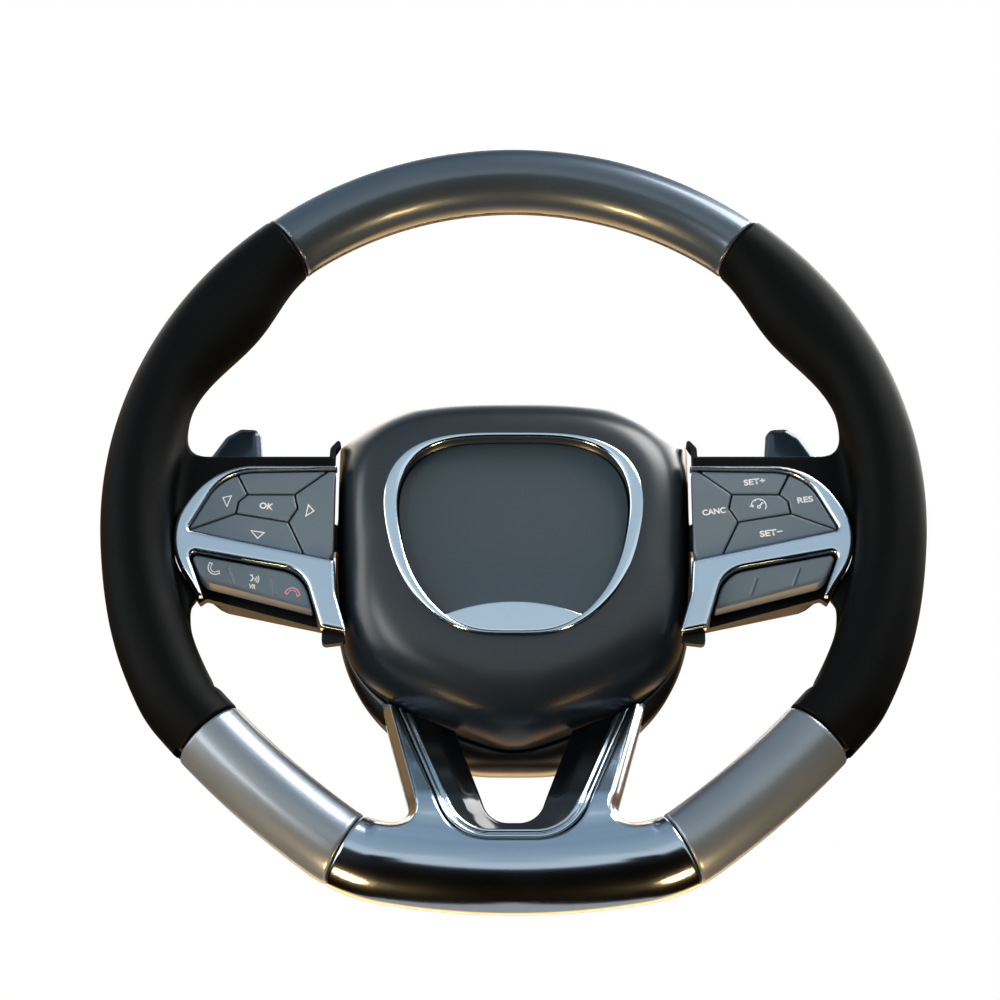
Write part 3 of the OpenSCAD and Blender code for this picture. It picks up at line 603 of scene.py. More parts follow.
@dataclass(frozen=True)
class Finish:
    """A surface: what it is made of, how it was made and how it looks."""

    title: str
    colour: str
    roughness: float
    slot: str = ""
    metallic: float = 0.0
    coat: float = 0.0
    grain: Grain = Grain.PEEL
    pitch: float = 1.0
    relief: float = 0.05
    mottle: float = 0.04
    ior: float = 1.5

    def material(self) -> bpy.types.Material:
        """The finish as a material, made once.

        Returns:
            The material, with slow changes of colour and gloss and a fine relief.
        """
        found = bpy.data.materials.get(self.title)
        if found:
            return found
        made = bpy.data.materials.new(self.title)
        made.use_nodes = True
        tree = made.node_tree
        shader = tree.nodes["Principled BSDF"]
        shader.inputs["Metallic"].default_value = self.metallic
        shader.inputs["Coat Weight"].default_value = self.coat
        shader.inputs["Coat Roughness"].default_value = 0.05
        if self.metallic < 0.5:
            shader.inputs["IOR"].default_value = self.ior
        coords = add_node(tree, "ShaderNodeTexCoord").outputs["Object"]
        cloud = add_node(tree, "ShaderNodeTexNoise", {"Scale": 45.0, "Detail": 3.0}, {"Vector": coords})
        rough = add_node(tree, "ShaderNodeMapRange", {
            "From Min": 0.25, "From Max": 0.75,
            "To Min": self.roughness * 0.92, "To Max": min(1.0, self.roughness * 1.08),
        }, {"Value": cloud.outputs["Fac"]})
        tree.links.new(rough.outputs["Result"], shader.inputs["Roughness"])
        low, high = self.shade(1 - self.mottle), self.shade(1 + self.mottle)
        colours = {"data_type": "RGBA", 6: low, 7: high}
        ramp = add_node(tree, "ShaderNodeMix", colours, {0: cloud.outputs["Fac"]})
        tree.links.new(ramp.outputs[2], shader.inputs["Base Color"])
        if self.relief > 0:
            depth = {"Strength": min(1.0, self.relief * 8), "Distance": self.relief * MM}
            bump = add_node(tree, "ShaderNodeBump", depth, {"Height": self.height(tree, coords)})
            tree.links.new(bump.outputs["Normal"], shader.inputs["Normal"])
        return made

    def height(self, tree: bpy.types.NodeTree, coords: bpy.types.NodeSocket) -> bpy.types.NodeSocket:
        """Height of the grain.

        Args:
            tree: the material's node tree.
            coords: coordinates of the object.

        Returns:
            The output that holds the height.
        """
        stretch = (0.08, 1.0, 1.0) if self.grain is Grain.BRUSHED else (1.0, 1.0, 1.0)
        turned = add_node(tree, "ShaderNodeMapping", {"Scale": stretch}, {"Vector": coords})
        size = 1 / (self.pitch * MM)
        kind, settings, output = "ShaderNodeTexNoise", {"Scale": size, "Detail": 2.0}, "Fac"
        if self.grain is Grain.LEATHER:
            settings = {"feature": "SMOOTH_F1", "Scale": size, "Smoothness": 0.6}
            kind, output = "ShaderNodeTexVoronoi", "Distance"
        elif self.grain is Grain.CLOTH:
            kind, settings = "ShaderNodeTexWave", {"Scale": size / 3, "Distortion": 0.5}
        return add_node(tree, kind, settings, {"Vector": turned.outputs[0]}).outputs[output]

    def shade(self, factor: float) -> tuple[float, ...]:
        """The colour made lighter or darker by a factor."""
        return tuple(c * factor for c in linear(self.colour)[:3]) + (1.0,)


# Nappa leather, dyed through and drum-soft: near black with a low broad sheen
LEATHER = Finish(
    "nappa_leather_black", "#070808", 0.5, "leather", grain=Grain.LEATHER,
    pitch=1.1, relief=0.03, mottle=0.12, ior=1.13,
)
# ABS cap with a satin slate lacquer: a soft metallic depth, broad highlights
SLATE_LACQUER = Finish(
    "abs_satin_slate_lacquer", "#4e5963", 0.31, "cap", metallic=0.6, coat=0.35, pitch=1.5, relief=0.004,
)
# ABS band in satin silver lacquer: pale, with a wide bright streak
SILVER_LACQUER = Finish(
    "abs_satin_silver_lacquer", "#7c858d", 0.33, "silver", metallic=0.55, coat=0.2, pitch=1.5, relief=0.004,
)
# Plated ABS, dark bright chrome: mirrors the studio with little softness
DARK_CHROME = Finish(
    "abs_dark_bright_chrome", "#a6b1bc", 0.16, "plated", metallic=1.0, pitch=4.0, relief=0.002, mottle=0.02,
)
# Plated ABS, satin chrome: pale blue-grey with soft edges to its reflections
SATIN_CHROME = Finish(
    "abs_satin_chrome", "#b4c0ca", 0.22, "pod_trim", metallic=1.0, pitch=3.0, relief=0.002, mottle=0.02,
)
# Plated ABS, bright chrome for the thin lines
BRIGHT_CHROME = Finish(
    "abs_bright_chrome", "#c6d0d8", 0.12, "ring", metallic=1.0, pitch=4.0, relief=0.002, mottle=0.02,
)
# Moulded TPO skin of the airbag cover with a soft-touch lacquer: charcoal, broad soft gloss
SOFT_TOUCH = Finish(
    "tpo_soft_touch_charcoal", "#1b2329", 0.30, "pad",
    grain=Grain.MOULDED, pitch=0.5, relief=0.004, mottle=0.05,
)
# Spark-eroded ABS panel: matt blue-grey with no clear highlight
MATT_PANEL = Finish(
    "abs_matt_blue_grey", "#243742", 0.55,
    grain=Grain.MOULDED, pitch=0.4, relief=0.012, mottle=0.04,
)
# Keys in laser-marked ABS with a satin slate lacquer
KEY_LACQUER = Finish(
    "abs_satin_key_slate", "#64747f", 0.40, "key",
    grain=Grain.MOULDED, pitch=0.4, relief=0.005, mottle=0.03,
)
# Moulded PP with a fine grain: black, slightly dull
BLACK_PP = Finish(
    "pp_fine_grain_black", "#101113", 0.5,
    grain=Grain.MOULDED, pitch=0.6, relief=0.015, mottle=0.08, ior=1.25,
)
# Moulded PP of the rear bowl, polished tool: black with a soft wide gloss
SATIN_BLACK = Finish(
    "pp_satin_black", "#0b0b0c", 0.30, "black_plastic",
    grain=Grain.MOULDED, pitch=0.8, relief=0.004, mottle=0.06,
)
# Piano black ABS: deep, glossy
PIANO_BLACK = Finish("abs_piano_black", "#08090a", 0.14, "black_plastic", pitch=4.0, relief=0.001)
# Pale silver lacquer of the rear shell
PALE_LACQUER = Finish("abs_pale_silver_lacquer", "#eef0f2", 0.45, pitch=1.5, relief=0.003)
# Paddle in cast aluminium under a slate lacquer
PADDLE_LACQUER = Finish(
    "aluminium_slate_lacquer", "#34424f", 0.20, "paddle", metallic=0.5, coat=0.4, pitch=2.0, relief=0.003,
)
# Die-cast magnesium, grey and slightly rough
CAST_MAGNESIUM = Finish(
    "magnesium_as_cast", "#a2a5a8", 0.5, metallic=0.9, grain=Grain.CAST, pitch=1.2, relief=0.04, mottle=0.1,
)
# Turned steel, zinc plated
ZINC_STEEL = Finish(
    "steel_zinc_plated", "#a7a9ab", 0.34, metallic=1.0, grain=Grain.BRUSHED, pitch=0.5, relief=0.01,
)
# Moulded PUR foam
PUR_FOAM = Finish(
    "pur_foam_dark", "#26272a", 0.8,
    grain=Grain.MOULDED, pitch=1.0, relief=0.05, mottle=0.1,
)
# Woven nylon of the airbag
NYLON = Finish("nylon_airbag_weave", "#d3cfc3", 0.85, grain=Grain.CLOTH, pitch=0.8, relief=0.08)
# White laser marking of the keys
WHITE_MARK = Finish("laser_mark_white", "#ffffff", 0.5, "key", pitch=0.5, relief=0.0)
# Pale red marking of the hang-up symbol
RED_MARK = Finish("laser_mark_pale_red", "#e6a9ad", 0.5, "key", pitch=0.5, relief=0.0)

CAD_FINISHES: dict[str, Finish] = {
    "armature": CAST_MAGNESIUM, "hub_boss": ZINC_STEEL, "rim_foam": PUR_FOAM, "rear_cover": BLACK_PP,
    "spoke_tray": BLACK_PP, "pad_panel": MATT_PANEL, "airbag_can": ZINC_STEEL, "airbag_cushion": NYLON,
    "inflator": ZINC_STEEL, "horn_springs": ZINC_STEEL, "cover_screws": ZINC_STEEL,
    "bottom_inner_plate": PIANO_BLACK,
    "pod_housing": BLACK_PP, "bar_carrier": BLACK_PP, "paddle_base": BLACK_PP, "paddle_pins": ZINC_STEEL,
    "paddle_springs": ZINC_STEEL, "bottom_trim_strip": BRIGHT_CHROME, "bottom_rear_shell": PALE_LACQUER,
    "key": KEY_LACQUER, "bar": KEY_LACQUER, "paddle": PADDLE_LACQUER, "pod_bezel": SATIN_CHROME,
    "grip": LEATHER, "band": SILVER_LACQUER, "rim_cap": SLATE_LACQUER, "bottom_bezel": DARK_CHROME,
    "pad_cover": SOFT_TOUCH, "pad_ring": BRIGHT_CHROME,
}


def dress(obj: bpy.types.Object, finish: Finish) -> None:
    """Gives an object one finish all over."""
    obj.data.materials.clear()
    obj.data.materials.append(finish.material())


def place(obj: bpy.types.Object, finish: Finish, body: str, *replaced: str) -> None:
    """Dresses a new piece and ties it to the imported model.

    Args:
        obj: the piece.
        finish: its finish.
        body: the body that it rides on.
        replaced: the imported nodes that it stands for.
    """
    dress(obj, finish)
    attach(obj, body)
    if replaced:
        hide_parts(*replaced)
    log.info("%s: %d faces on %s", obj.name, len(getattr(obj.data, "polygons", [])), body)


def dress_cad_nodes() -> None:
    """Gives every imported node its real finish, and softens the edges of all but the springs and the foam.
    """
    for name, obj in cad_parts.items():
        key = max((k for k in CAD_FINISHES if name.startswith(k)), key=len)
        material = CAD_FINISHES[key].material()
        for index in range(len(obj.material_slots)):
            obj.material_slots[index].material = material
        if not name.endswith(("springs", "foam")):
            soften_edges(obj)


@dataclass
class Rim:
    """Covers of the rim: leather, caps and silver bands."""

    cap_seam: float = 51.4
    band_seam: float = 43.1
    bezel_seam: float = 61.0
    edge: float = 1.6
    gap: float = 0.25
    cell: float = 1.25
    cap_step: float = 3.3
    tongue_y: tuple = (8.0, 15.0)
    tongue_end: float = 83.2
    tongue: Outline = (
        (80, 30, 0), (80, -50, 0), (134, -38.5, 0), (146, -41.5, 8), (147.5, -64, 0),
        (170, -64, 0), (170, 50, 0), (158.5, 50, 0), (150, 30, 12),
    )
    pod_cut: Outline = (
        (60, 23.1, 0), (60, -90, 0), (132, -90, 0),
        (142.5, -42.5, 2), (161.4, -13, 31.3), (138, 23.1, 34.3),
    )

    def build(self) -> None:
        """Builds all the covers of the rim."""
        for name, front, low_y, high_y in (("front", True, -17.5, 4.5), ("rear", False, -1.5, 17.5)):
            title = f"rim_cap_{name}"
            box = (-122, low_y, 116), (122, high_y, 190)
            obj = net_object(title + "_skin", partial(self.cap, front=front), *box, self.cell)
            place(obj, SLATE_LACQUER, Body.WHEEL.value, title)
        for side in Side:
            title = f"grip_{side.value}"
            box = (82, -18, -120), (191, 18, 152)
            obj = net_object(title + "_leather", self.grip, *box, self.cell, side)
            place(obj, LEATHER, Body.WHEEL.value, title)
            title = f"band_{side.value}"
            box = (62, -18, -182), (156, 18, -90)
            obj = net_object(title + "_shell", self.band, *box, self.cell, side)
            place(obj, SILVER_LACQUER, Body.WHEEL.value, title)

    def cap(self, p: Points, front: bool) -> np.ndarray:
        """Upper cap, split along a seam that lies further back on the inner side.

        Args:
            p: places asked for.
            front: whether it is the front shell.

        Returns:
            The shell's field.
        """
        offset, _ = RIM.nearest(p[:, 0], p[:, 2])
        past = p[:, 1] - self.cap_step * ease(0.5 - offset / 12)
        out = smooth_max(RIM.tube(p), self.gap - RIM.beyond(p, self.cap_seam), self.edge)
        return smooth_max(out, past + 0.15 if front else 0.15 - past, 0.5)

    def grip(self, p: Points) -> np.ndarray:
        """Leather with its sleeve and tongue in one skin, and the pod's place cut out.

        Args:
            p: places asked for.

        Returns:
            The leather's field.
        """
        x, y, z = p.T
        middle, half = sum(self.tongue_y) / 2, (self.tongue_y[1] - self.tongue_y[0]) / 2
        plate = outline_distance(rounded(self.tongue), x, z)
        plate = smooth_max(plate, np.abs(y - middle) - half, 2.5)
        plate = smooth_max(plate, self.tongue_end - x, 0.5)
        body = smooth_min(RIM.tube(p), plate, 9.0)
        body = smooth_max(body, -outline_distance(rounded(self.pod_cut), x, z), 1.5)
        body = smooth_max(body, self.gap + RIM.beyond(p, self.cap_seam), self.edge)
        return smooth_max(body, self.gap - RIM.beyond(p, -self.band_seam), self.edge)

    def band(self, p: Points) -> np.ndarray:
        """Field of a silver band."""
        out = smooth_max(RIM.tube(p), self.gap + RIM.beyond(p, -self.band_seam), self.edge)
        return smooth_max(out, self.gap - RIM.beyond(p, -self.bezel_seam), self.edge)


@dataclass
class LowerSpoke:
    """Flat bottom of the rim with the two legs to the hub."""

    seam: float = 61.0
    foot_z: float = -150.0
    top_z: float = -86.0
    front_low: float = -10.0
    front_top: float = 32.0
    bend: float = 12.0
    thick: float = 9.0
    flare: float = 3.2
    flare_depth: float = 6.5
    outline: Outline = (
        (-62, -76, 0), (-43.0, -155.5, 9), (-60, -155, 0), (-60, -170, 0),
        (60, -170, 0), (60, -155, 0), (43.0, -155.5, 9), (62, -76, 0),
    )
    opening: Outline = ((63.6, -56, 0), (-63.6, -56, 0), (-26.8, -162, 24), (26.8, -162, 24))
    hole: Outline = ((29.1, -90, 0), (-29.1, -90, 0), (-10.6, -152.5, 11), (10.6, -152.5, 11))
    lines: tuple = ((1.5, 1.0, 1.0), (4.3, 2.2, 0.9))

    def build(self) -> None:
        """Builds the front shell, its bright lines and the black plate."""
        for title, node, finish, f, low, high, cell in (
            ("bottom_bezel_shell", "bottom_bezel", DARK_CHROME, self.front_shell,
             (-84, -18, -196), (84, 46, -76), 0.9),
            ("bottom_trim_lines", "bottom_trim_strip", BRIGHT_CHROME, self.trim,
             (-60, -16, -166), (60, 34, -84), 0.7),
            ("bottom_inner_panel", "bottom_inner_plate", PIANO_BLACK, self.plate,
             (-60, -12, -166), (60, 40, -80), 0.9),
        ):
            place(net_object(title, f, low, high, cell), finish, Body.WHEEL.value, node)

    def behind(self, p: Points) -> np.ndarray:
        """Distance behind the legs' front face, which bends smoothly at its foot.

        Args:
            p: places asked for.

        Returns:
            One distance for each place.
        """
        slope = (self.front_top - self.front_low) / (self.top_z - self.foot_z)
        rise = np.maximum(p[:, 2] - self.foot_z, 0)
        soft = np.where(rise < self.bend, rise * rise / (2 * self.bend), rise - self.bend / 2)
        return (p[:, 1] - self.front_low - slope * soft) / math.hypot(1, slope)

    def from_opening(self, p: Points) -> np.ndarray:
        """Distance out of the opening between the legs."""
        return outline_distance(rounded(self.opening, 4), p[:, 0], p[:, 2])

    def front_shell(self, p: Points) -> np.ndarray:
        """Glossy front shell with its legs, which flare out at their edges.

        Args:
            p: places asked for.

        Returns:
            The shell's field.
        """
        x, y, z = p.T
        offset, _ = RIM.nearest(x, z)
        past = y - 4.6 * ease(0.5 + offset / 12) + 0.95 * ease(0.5 - offset / 12)
        tube = smooth_max(RIM.tube(p), past, 0.5)
        tube = smooth_max(tube, 0.25 + RIM.beyond(p, -self.seam), 1.6)
        behind = self.behind(p)
        flare = self.flare * ease((self.flare_depth - behind) / self.flare_depth)
        sides = outline_distance(rounded(self.outline), x, z) + flare
        legs = smooth_max(sides, np.abs(behind - self.thick / 2) - self.thick / 2, 2.0)
        body = smooth_max(smooth_min(tube, legs, 7.0), y - 60, 0)
        body = smooth_max(body, -self.from_opening(p), 2.0)
        return smooth_max(body, -HubPad.shape(p, HubPad.parting, 0.8), 0.4)

    def trim(self, p: Points) -> np.ndarray:
        """Two fine bright lines round the black plate, on a web.

        Args:
            p: places asked for.

        Returns:
            The field of both lines.
        """
        edge, behind = self.from_opening(p), self.behind(p)
        lines = [np.hypot(edge + at, behind - down) - size for at, down, size in self.lines]
        web = smooth_max(np.abs(edge + 2.9) - 2.6, np.abs(behind - 2.9) - 1.1, 0.5)
        body = smooth_min(np.minimum(*lines), web, 0.6)
        return smooth_max(body, -HubPad.shape(p, HubPad.parting, 0.9), 0.3)

    def plate(self, p: Points) -> np.ndarray:
        """Black plate, dished towards its open gap.

        Args:
            p: places asked for.

        Returns:
            The plate's field.
        """
        gap = outline_distance(rounded(self.hole, 4), p[:, 0], p[:, 2])
        dish = 2.4 + 2.2 * ease((9 - gap) / 9)
        body = smooth_max(self.from_opening(p) + 4.6, np.abs(self.behind(p) - dish - 1.5) - 1.5, 0.4)
        body = smooth_max(body, -gap, 1.6)
        return smooth_max(body, -HubPad.shape(p, HubPad.parting, 0.9), 0.3)


@dataclass
class HubPad:
    """Airbag cover with its ring.

    A shield form is a half width, an upper and a lower end, how far it draws in at its
    foot and by which power, and the two powers of its rounding.
    """

    parting: tuple = (82, 61, -106, 0.74, 7.6, 2.65, 4.8)
    ring: tuple = (62.1, 37.5, -63.4, 0.35, 2.3, 3.5, 2.8)
    window: tuple = (55.6, 35.2, -62, 0.35, 2.3, 3.5, 2.8)
    parting_y: float = 34.0
    crown_top: float = 2.6
    crown_side: float = 2.1
    crown_foot: float = 2.8
    wing_from: float = 2.0
    wing_base: float = -5.0
    wing_lines: tuple = ((1.0, 0.0, 82.0), (0.503, 0.864, 78.2), (0.0, 1.0, 61.0))
    inside: tuple = ((11.5, -9.0), (17.2, -4.5))
    lip: tuple = ((33.6, -3.0), (34.0, -0.5))
    pocket: tuple = ((0.25, 0.8), (1.0, 0.3), (8.0, 0.2))
    ring_section: tuple = (
        (0, 0.2, -0.1), (0, -0.6, -0.1), (0, -1.15, -0.35), (0.12, -1.45, -0.3), (0.4, -1.6, 0),
        (0.7, -1.55, 0), (0.92, -1.3, 0), (1, -0.95, -0.1), (1, -0.2, -0.2), (1, 0.25, -0.2),
        (0.5, 0.3, 0), (0.2, 0.3, 0),
    )
    arch_r: float = 78.0
    arch_top: float = -47.0

    @staticmethod
    def shape(p: Points, form: tuple, grow: float) -> np.ndarray:
        """Distance to a shield form in X and Z, about right close to it.

        Args:
            p: places asked for.
            form: the shield form.
            grow: how far it is made larger.

        Returns:
            One distance for each place.
        """
        w, zt, zb, draw, power, n, m = form
        w, zt, zb = w + grow, zt + grow, zb - grow
        z = (p[:, 2] - (zt + zb) / 2) / ((zt - zb) / 2)
        drop = np.clip((zt - p[:, 2]) / (zt - zb), 0, 1)
        x = np.abs(p[:, 0]) / (w * (1 - draw * drop ** power))
        return ((x ** n + np.abs(z) ** m) ** (2 / (n + m)) - 1) * 0.5 * (w + (zt - zb) / 2)

    @staticmethod
    def row(form: Sequence, y: float = 0.0, grow: float = 0.0, count: int = 192) -> np.ndarray:
        """Closed row of points on a shield form at one depth.

        Args:
            form: the shield form, whose values may differ from point to point.
            y: depth.
            grow: how far the form is made larger.
            count: number of points.

        Returns:
            The points.
        """
        w, zt, zb, draw, power, n, m = form
        w, zt, zb = w + grow, zt + grow, zb - grow
        a = 2 * math.pi * np.arange(count) / count
        ca, sa = np.cos(a), np.sin(a)
        z = (zt + zb) / 2 + (zt - zb) / 2 * np.sign(sa) * np.abs(sa) ** (2 / m)
        drop = np.maximum(0, (zt - z) / (zt - zb))
        x = w * np.sign(ca) * np.abs(ca) ** (2 / n) * (1 - draw * drop ** power)
        return np.column_stack([x, np.full(count, y), z])

    @staticmethod
    def between(a: tuple, b: tuple, share: np.ndarray | float) -> list:
        """Shield form between two others."""
        return [u + (v - u) * share for u, v in zip(a, b)]

    def skin_row(self, t: float, count: int = 192) -> np.ndarray:
        """Row of the cover's skin.

        Args:
            t: how far it is from the parting line (0) to the ring (1).
            count: number of points.

        Returns:
            The points.
        """
        sa = np.sin(2 * math.pi * np.arange(count) / count)
        blend = ease(1.25 * np.abs(sa) ** (2 / self.parting[6]))
        end = np.where(sa > 0, self.crown_top, self.crown_foot)
        e = 2 / (self.crown_side + (end - self.crown_side) * blend)
        q = math.pi / 2 * t
        rows = self.row(self.between(self.parting, self.ring, 1 - max(0.0, math.cos(q)) ** e))
        rows[:, 1] = self.parting_y * (1 - math.sin(q) ** e)
        return self.winged(rows, ease((rows[:, 1] - self.wing_from) / (self.parting_y - self.wing_from)))

    def winged(self, rows: np.ndarray, share: np.ndarray | float = 1.0) -> np.ndarray:
        """Rows with their upper corners drawn out to the flat wings.

        Args:
            rows: points of one row.
            share: how far each goes to the wing, from 0 to 1.

        Returns:
            The moved points.
        """
        x, z = np.abs(rows[:, 0]), rows[:, 2] - self.wing_base
        reach = [
            np.where(z > 0, (far - v * self.wing_base) / np.maximum(u * x + v * z, 1e-6), 1.0)
            for u, v, far in self.wing_lines
        ]
        grow = 1 + (np.clip(np.min(reach, axis=0), 1, 1.3) - 1) * share * ease(z / 30)
        return np.column_stack([rows[:, 0] * grow, rows[:, 1], self.wing_base + z * grow])

    def build(self) -> None:
        """Builds the cover, the ring and the crescent at its foot."""
        inner = [self.row(self.parting, y, grow) for y, grow in self.inside]
        lip = [self.winged(self.row(self.parting, y, grow)) for y, grow in self.lip]
        outer = [self.skin_row(t) for t in np.linspace(0.004, 1, 61)]
        pocket = [self.row(self.window, y, grow) for y, grow in self.pocket]
        obj = rows_object("pad_cover_skin", np.stack(inner + lip + outer + pocket))
        place(obj, SOFT_TOUCH, Body.PAD.value, "pad_cover")
        section = [
            self.row(self.between(self.ring, self.window, u), y, grow) for u, y, grow in self.ring_section
        ]
        obj = rows_object("pad_ring_band", np.stack(section), close=True)
        place(obj, BRIGHT_CHROME, Body.PAD.value, "pad_ring")
        obj = net_object("pad_ring_crescent", self.crescent, (-40, -2.5, -66), (40, 7, -44), 0.45)
        place(obj, BRIGHT_CHROME, Body.PAD.value, "pad_ring")

    def crescent(self, p: Points) -> np.ndarray:
        """Crescent that fills the foot of the window under an arch.

        Args:
            p: places asked for.

        Returns:
            The crescent's field.
        """
        arch = np.hypot(p[:, 0], p[:, 2] - self.arch_top + self.arch_r) - self.arch_r
        face = smooth_max(self.shape(p, self.window, 0.4), arch, 1.0)
        return np.maximum(smooth_max(face, -1.0 - p[:, 1], 1.2), p[:, 1] - 5.7)


@dataclass
class RearCover:
    """Bowl behind the hub, open round the column."""

    form: tuple = (84, 66, -112.3, 0.42, 5.5, 3.7, 3.5)
    column: tuple = (46, 46, -46, 0, 1, 2, 2)
    wall: float = 2.5
    floor_from: float = 60.0
    side_to: float = 68.0
    profile: tuple = (
        (38.8, -0.6), (47.0, 0.0), (55.0, -1.0), (60.5, -3.0), (64.5, -6.0), (67.3, -10.0), (68.5, -15.0),
    )

    def build(self) -> None:
        """Builds the bowl with its wall."""
        steps = [(36.4, HubPad.parting, 0.5)] + [(y, self.form, grow) for y, grow in self.profile]
        steps.append((self.profile[-1][0], self.column, 0.0))
        outer = [HubPad.row(form, y, grow) for y, form, grow in steps]
        inner = []
        for y, form, grow in reversed(steps):
            back, side = y > self.floor_from, y < self.side_to
            inner.append(HubPad.row(form, y - self.wall * back, grow - self.wall * side))
        obj = rows_object("rear_cover_bowl", np.stack(outer + inner), close=True)
        place(obj, SATIN_BLACK, Body.WHEEL.value, "rear_cover")


@dataclass
class SwitchPod:
    """Open bezel, five keys and the rocking bar of one side."""

    side: Side
    gap: float = 0.35
    bezel: Outline = (
        (81.4, 22.9, 0), (138, 23, 34), (161.3, -13, 31), (142.3, -42, 1), (140.3, -42, 0.6),
        (148.4, -19.9, 2.5), (95.3, -30.1, 16), (87, -57.6, 0.8), (74.6, -60.3, 1), (80.2, -41, 20),
        (81.3, -24.7, 0), (148.8, -9.5, 1.6), (133.5, 20, 24), (81.4, 20.9, 0),
    )
    key_field: Outline = ((81.8, 20.9, 0), (81.8, -24.2, 0), (148.8, -9.5, 1.6), (133.5, 20, 24))
    bar_outline: Outline = ((148.4, -19.9, 2.5), (95.3, -30.1, 16), (90.1, -47.8, 1.2), (141.7, -33.9, 8))
    centre: tuple = ((122, 8.6), (100.4, 8.6), (98.8, 1.5), (102.9, -5.3), (127.1, -1.1), (126, 5))
    upper_outer: tuple = (127, 18.8)
    upper_inner: tuple = (85.1, 20.9)
    lower_outer: tuple = (148.8, -9.5)
    lower_inner: tuple = (95.3, -21.3)
    ribs: tuple = (((129.7, -28.2), (127.0, -35.6)), ((110.2, -32.8), (107.6, -40.2)))

    def build(self) -> None:
        """Builds the pod's pieces."""
        title = f"pod_bezel_{self.side.value}"
        box = (72.5, 2.6, -62.5), (157, 10, 24.5)
        obj = net_object(title + "_shell", self.bezel_face, *box, 0.6, self.side)
        place(obj, SATIN_CHROME, Body.WHEEL.value, title)
        limits = rounded(self.key_field)
        for name, corners in self.cells().items():
            title = f"key_{self.side.value}_{name}"
            low = np.maximum(corners.min(0), limits.min(0)) - 1
            high = np.minimum(corners.max(0), limits.max(0)) + 1
            box = (low[0], 4, low[1]), (high[0], 14, high[1])
            key = partial(self.key, corners=corners)
            obj = net_object(title + "_cap", key, *box, 0.5, self.side)
            place(obj, KEY_LACQUER, title, title)
        title = f"bar_{self.side.value}"
        obj = net_object(title + "_cap", self.bar, (87, 3.5, -51), (149, 19, -19), 0.5, self.side)
        place(obj, KEY_LACQUER, title, title)

    def bezel_face(self, p: Points) -> np.ndarray:
        """Field of the open bezel with its pillowed faces."""
        flat = outline_distance(rounded(self.bezel), p[:, 0], p[:, 2])
        return np.maximum(smooth_max(flat, 3.7 - p[:, 1], 2.4), p[:, 1] - 9.0)

    def cells(self) -> dict[str, np.ndarray]:
        """Outlines of the five keys, before they are cut by the field.

        Returns:
            The corners of each key by its name.
        """
        c = [np.array(q, float) for q in self.centre]
        up_out, up_in, low_in, low_out = (extended(c[i], corner, 14) for i, corner in (
            (0, self.upper_outer), (1, self.upper_inner), (3, self.lower_inner), (4, self.lower_outer),
        ))
        return {name: np.array(corners) for name, corners in (
            ("up", [c[0], up_out, up_in, c[1]]),
            ("down", [c[3], low_in, low_out, c[4]]),
            ("outer", [c[4], low_out, (170, 30), up_out, c[0], c[5]]),
            ("inner", [c[1], up_in, (70, 0), low_in, c[3], c[2]]),
            ("centre", c),
        )}

    def key(self, p: Points, corners: np.ndarray) -> np.ndarray:
        """Key with a crowned face and softly rounded edges.

        Args:
            p: places asked for.
            corners: outline of the key before the field cuts it.

        Returns:
            The key's field.
        """
        x, y, z = p.T
        limits = outline_distance(rounded(self.key_field), x, z)
        flat = smooth_max(limits, outline_distance(corners, x, z), 0.8) + self.gap
        return np.maximum(smooth_max(flat, key_crown(z) - y, 1.0), y - 13.0)

    def bar(self, p: Points) -> np.ndarray:
        """Lower bar with its two raised ribs.

        Args:
            p: places asked for.

        Returns:
            The bar's field.
        """
        x, y, z = p.T
        flat = outline_distance(rounded(self.bar_outline), x, z) + 2 * self.gap
        body = np.maximum(smooth_max(flat, key_crown(z) - y, 1.6), y - 18.0)
        for (ax, az), (bx, bz) in self.ribs:
            ux, uz = bx - ax, bz - az
            t = np.clip(((x - ax) * ux + (z - az) * uz) / (ux * ux + uz * uz), 0, 1)
            lift = (y - key_crown(z)) / 0.8
            away = np.sqrt((x - ax - t * ux) ** 2 + (z - az - t * uz) ** 2 + lift ** 2)
            body = smooth_min(body, away - 0.7, 0.3)
        return body


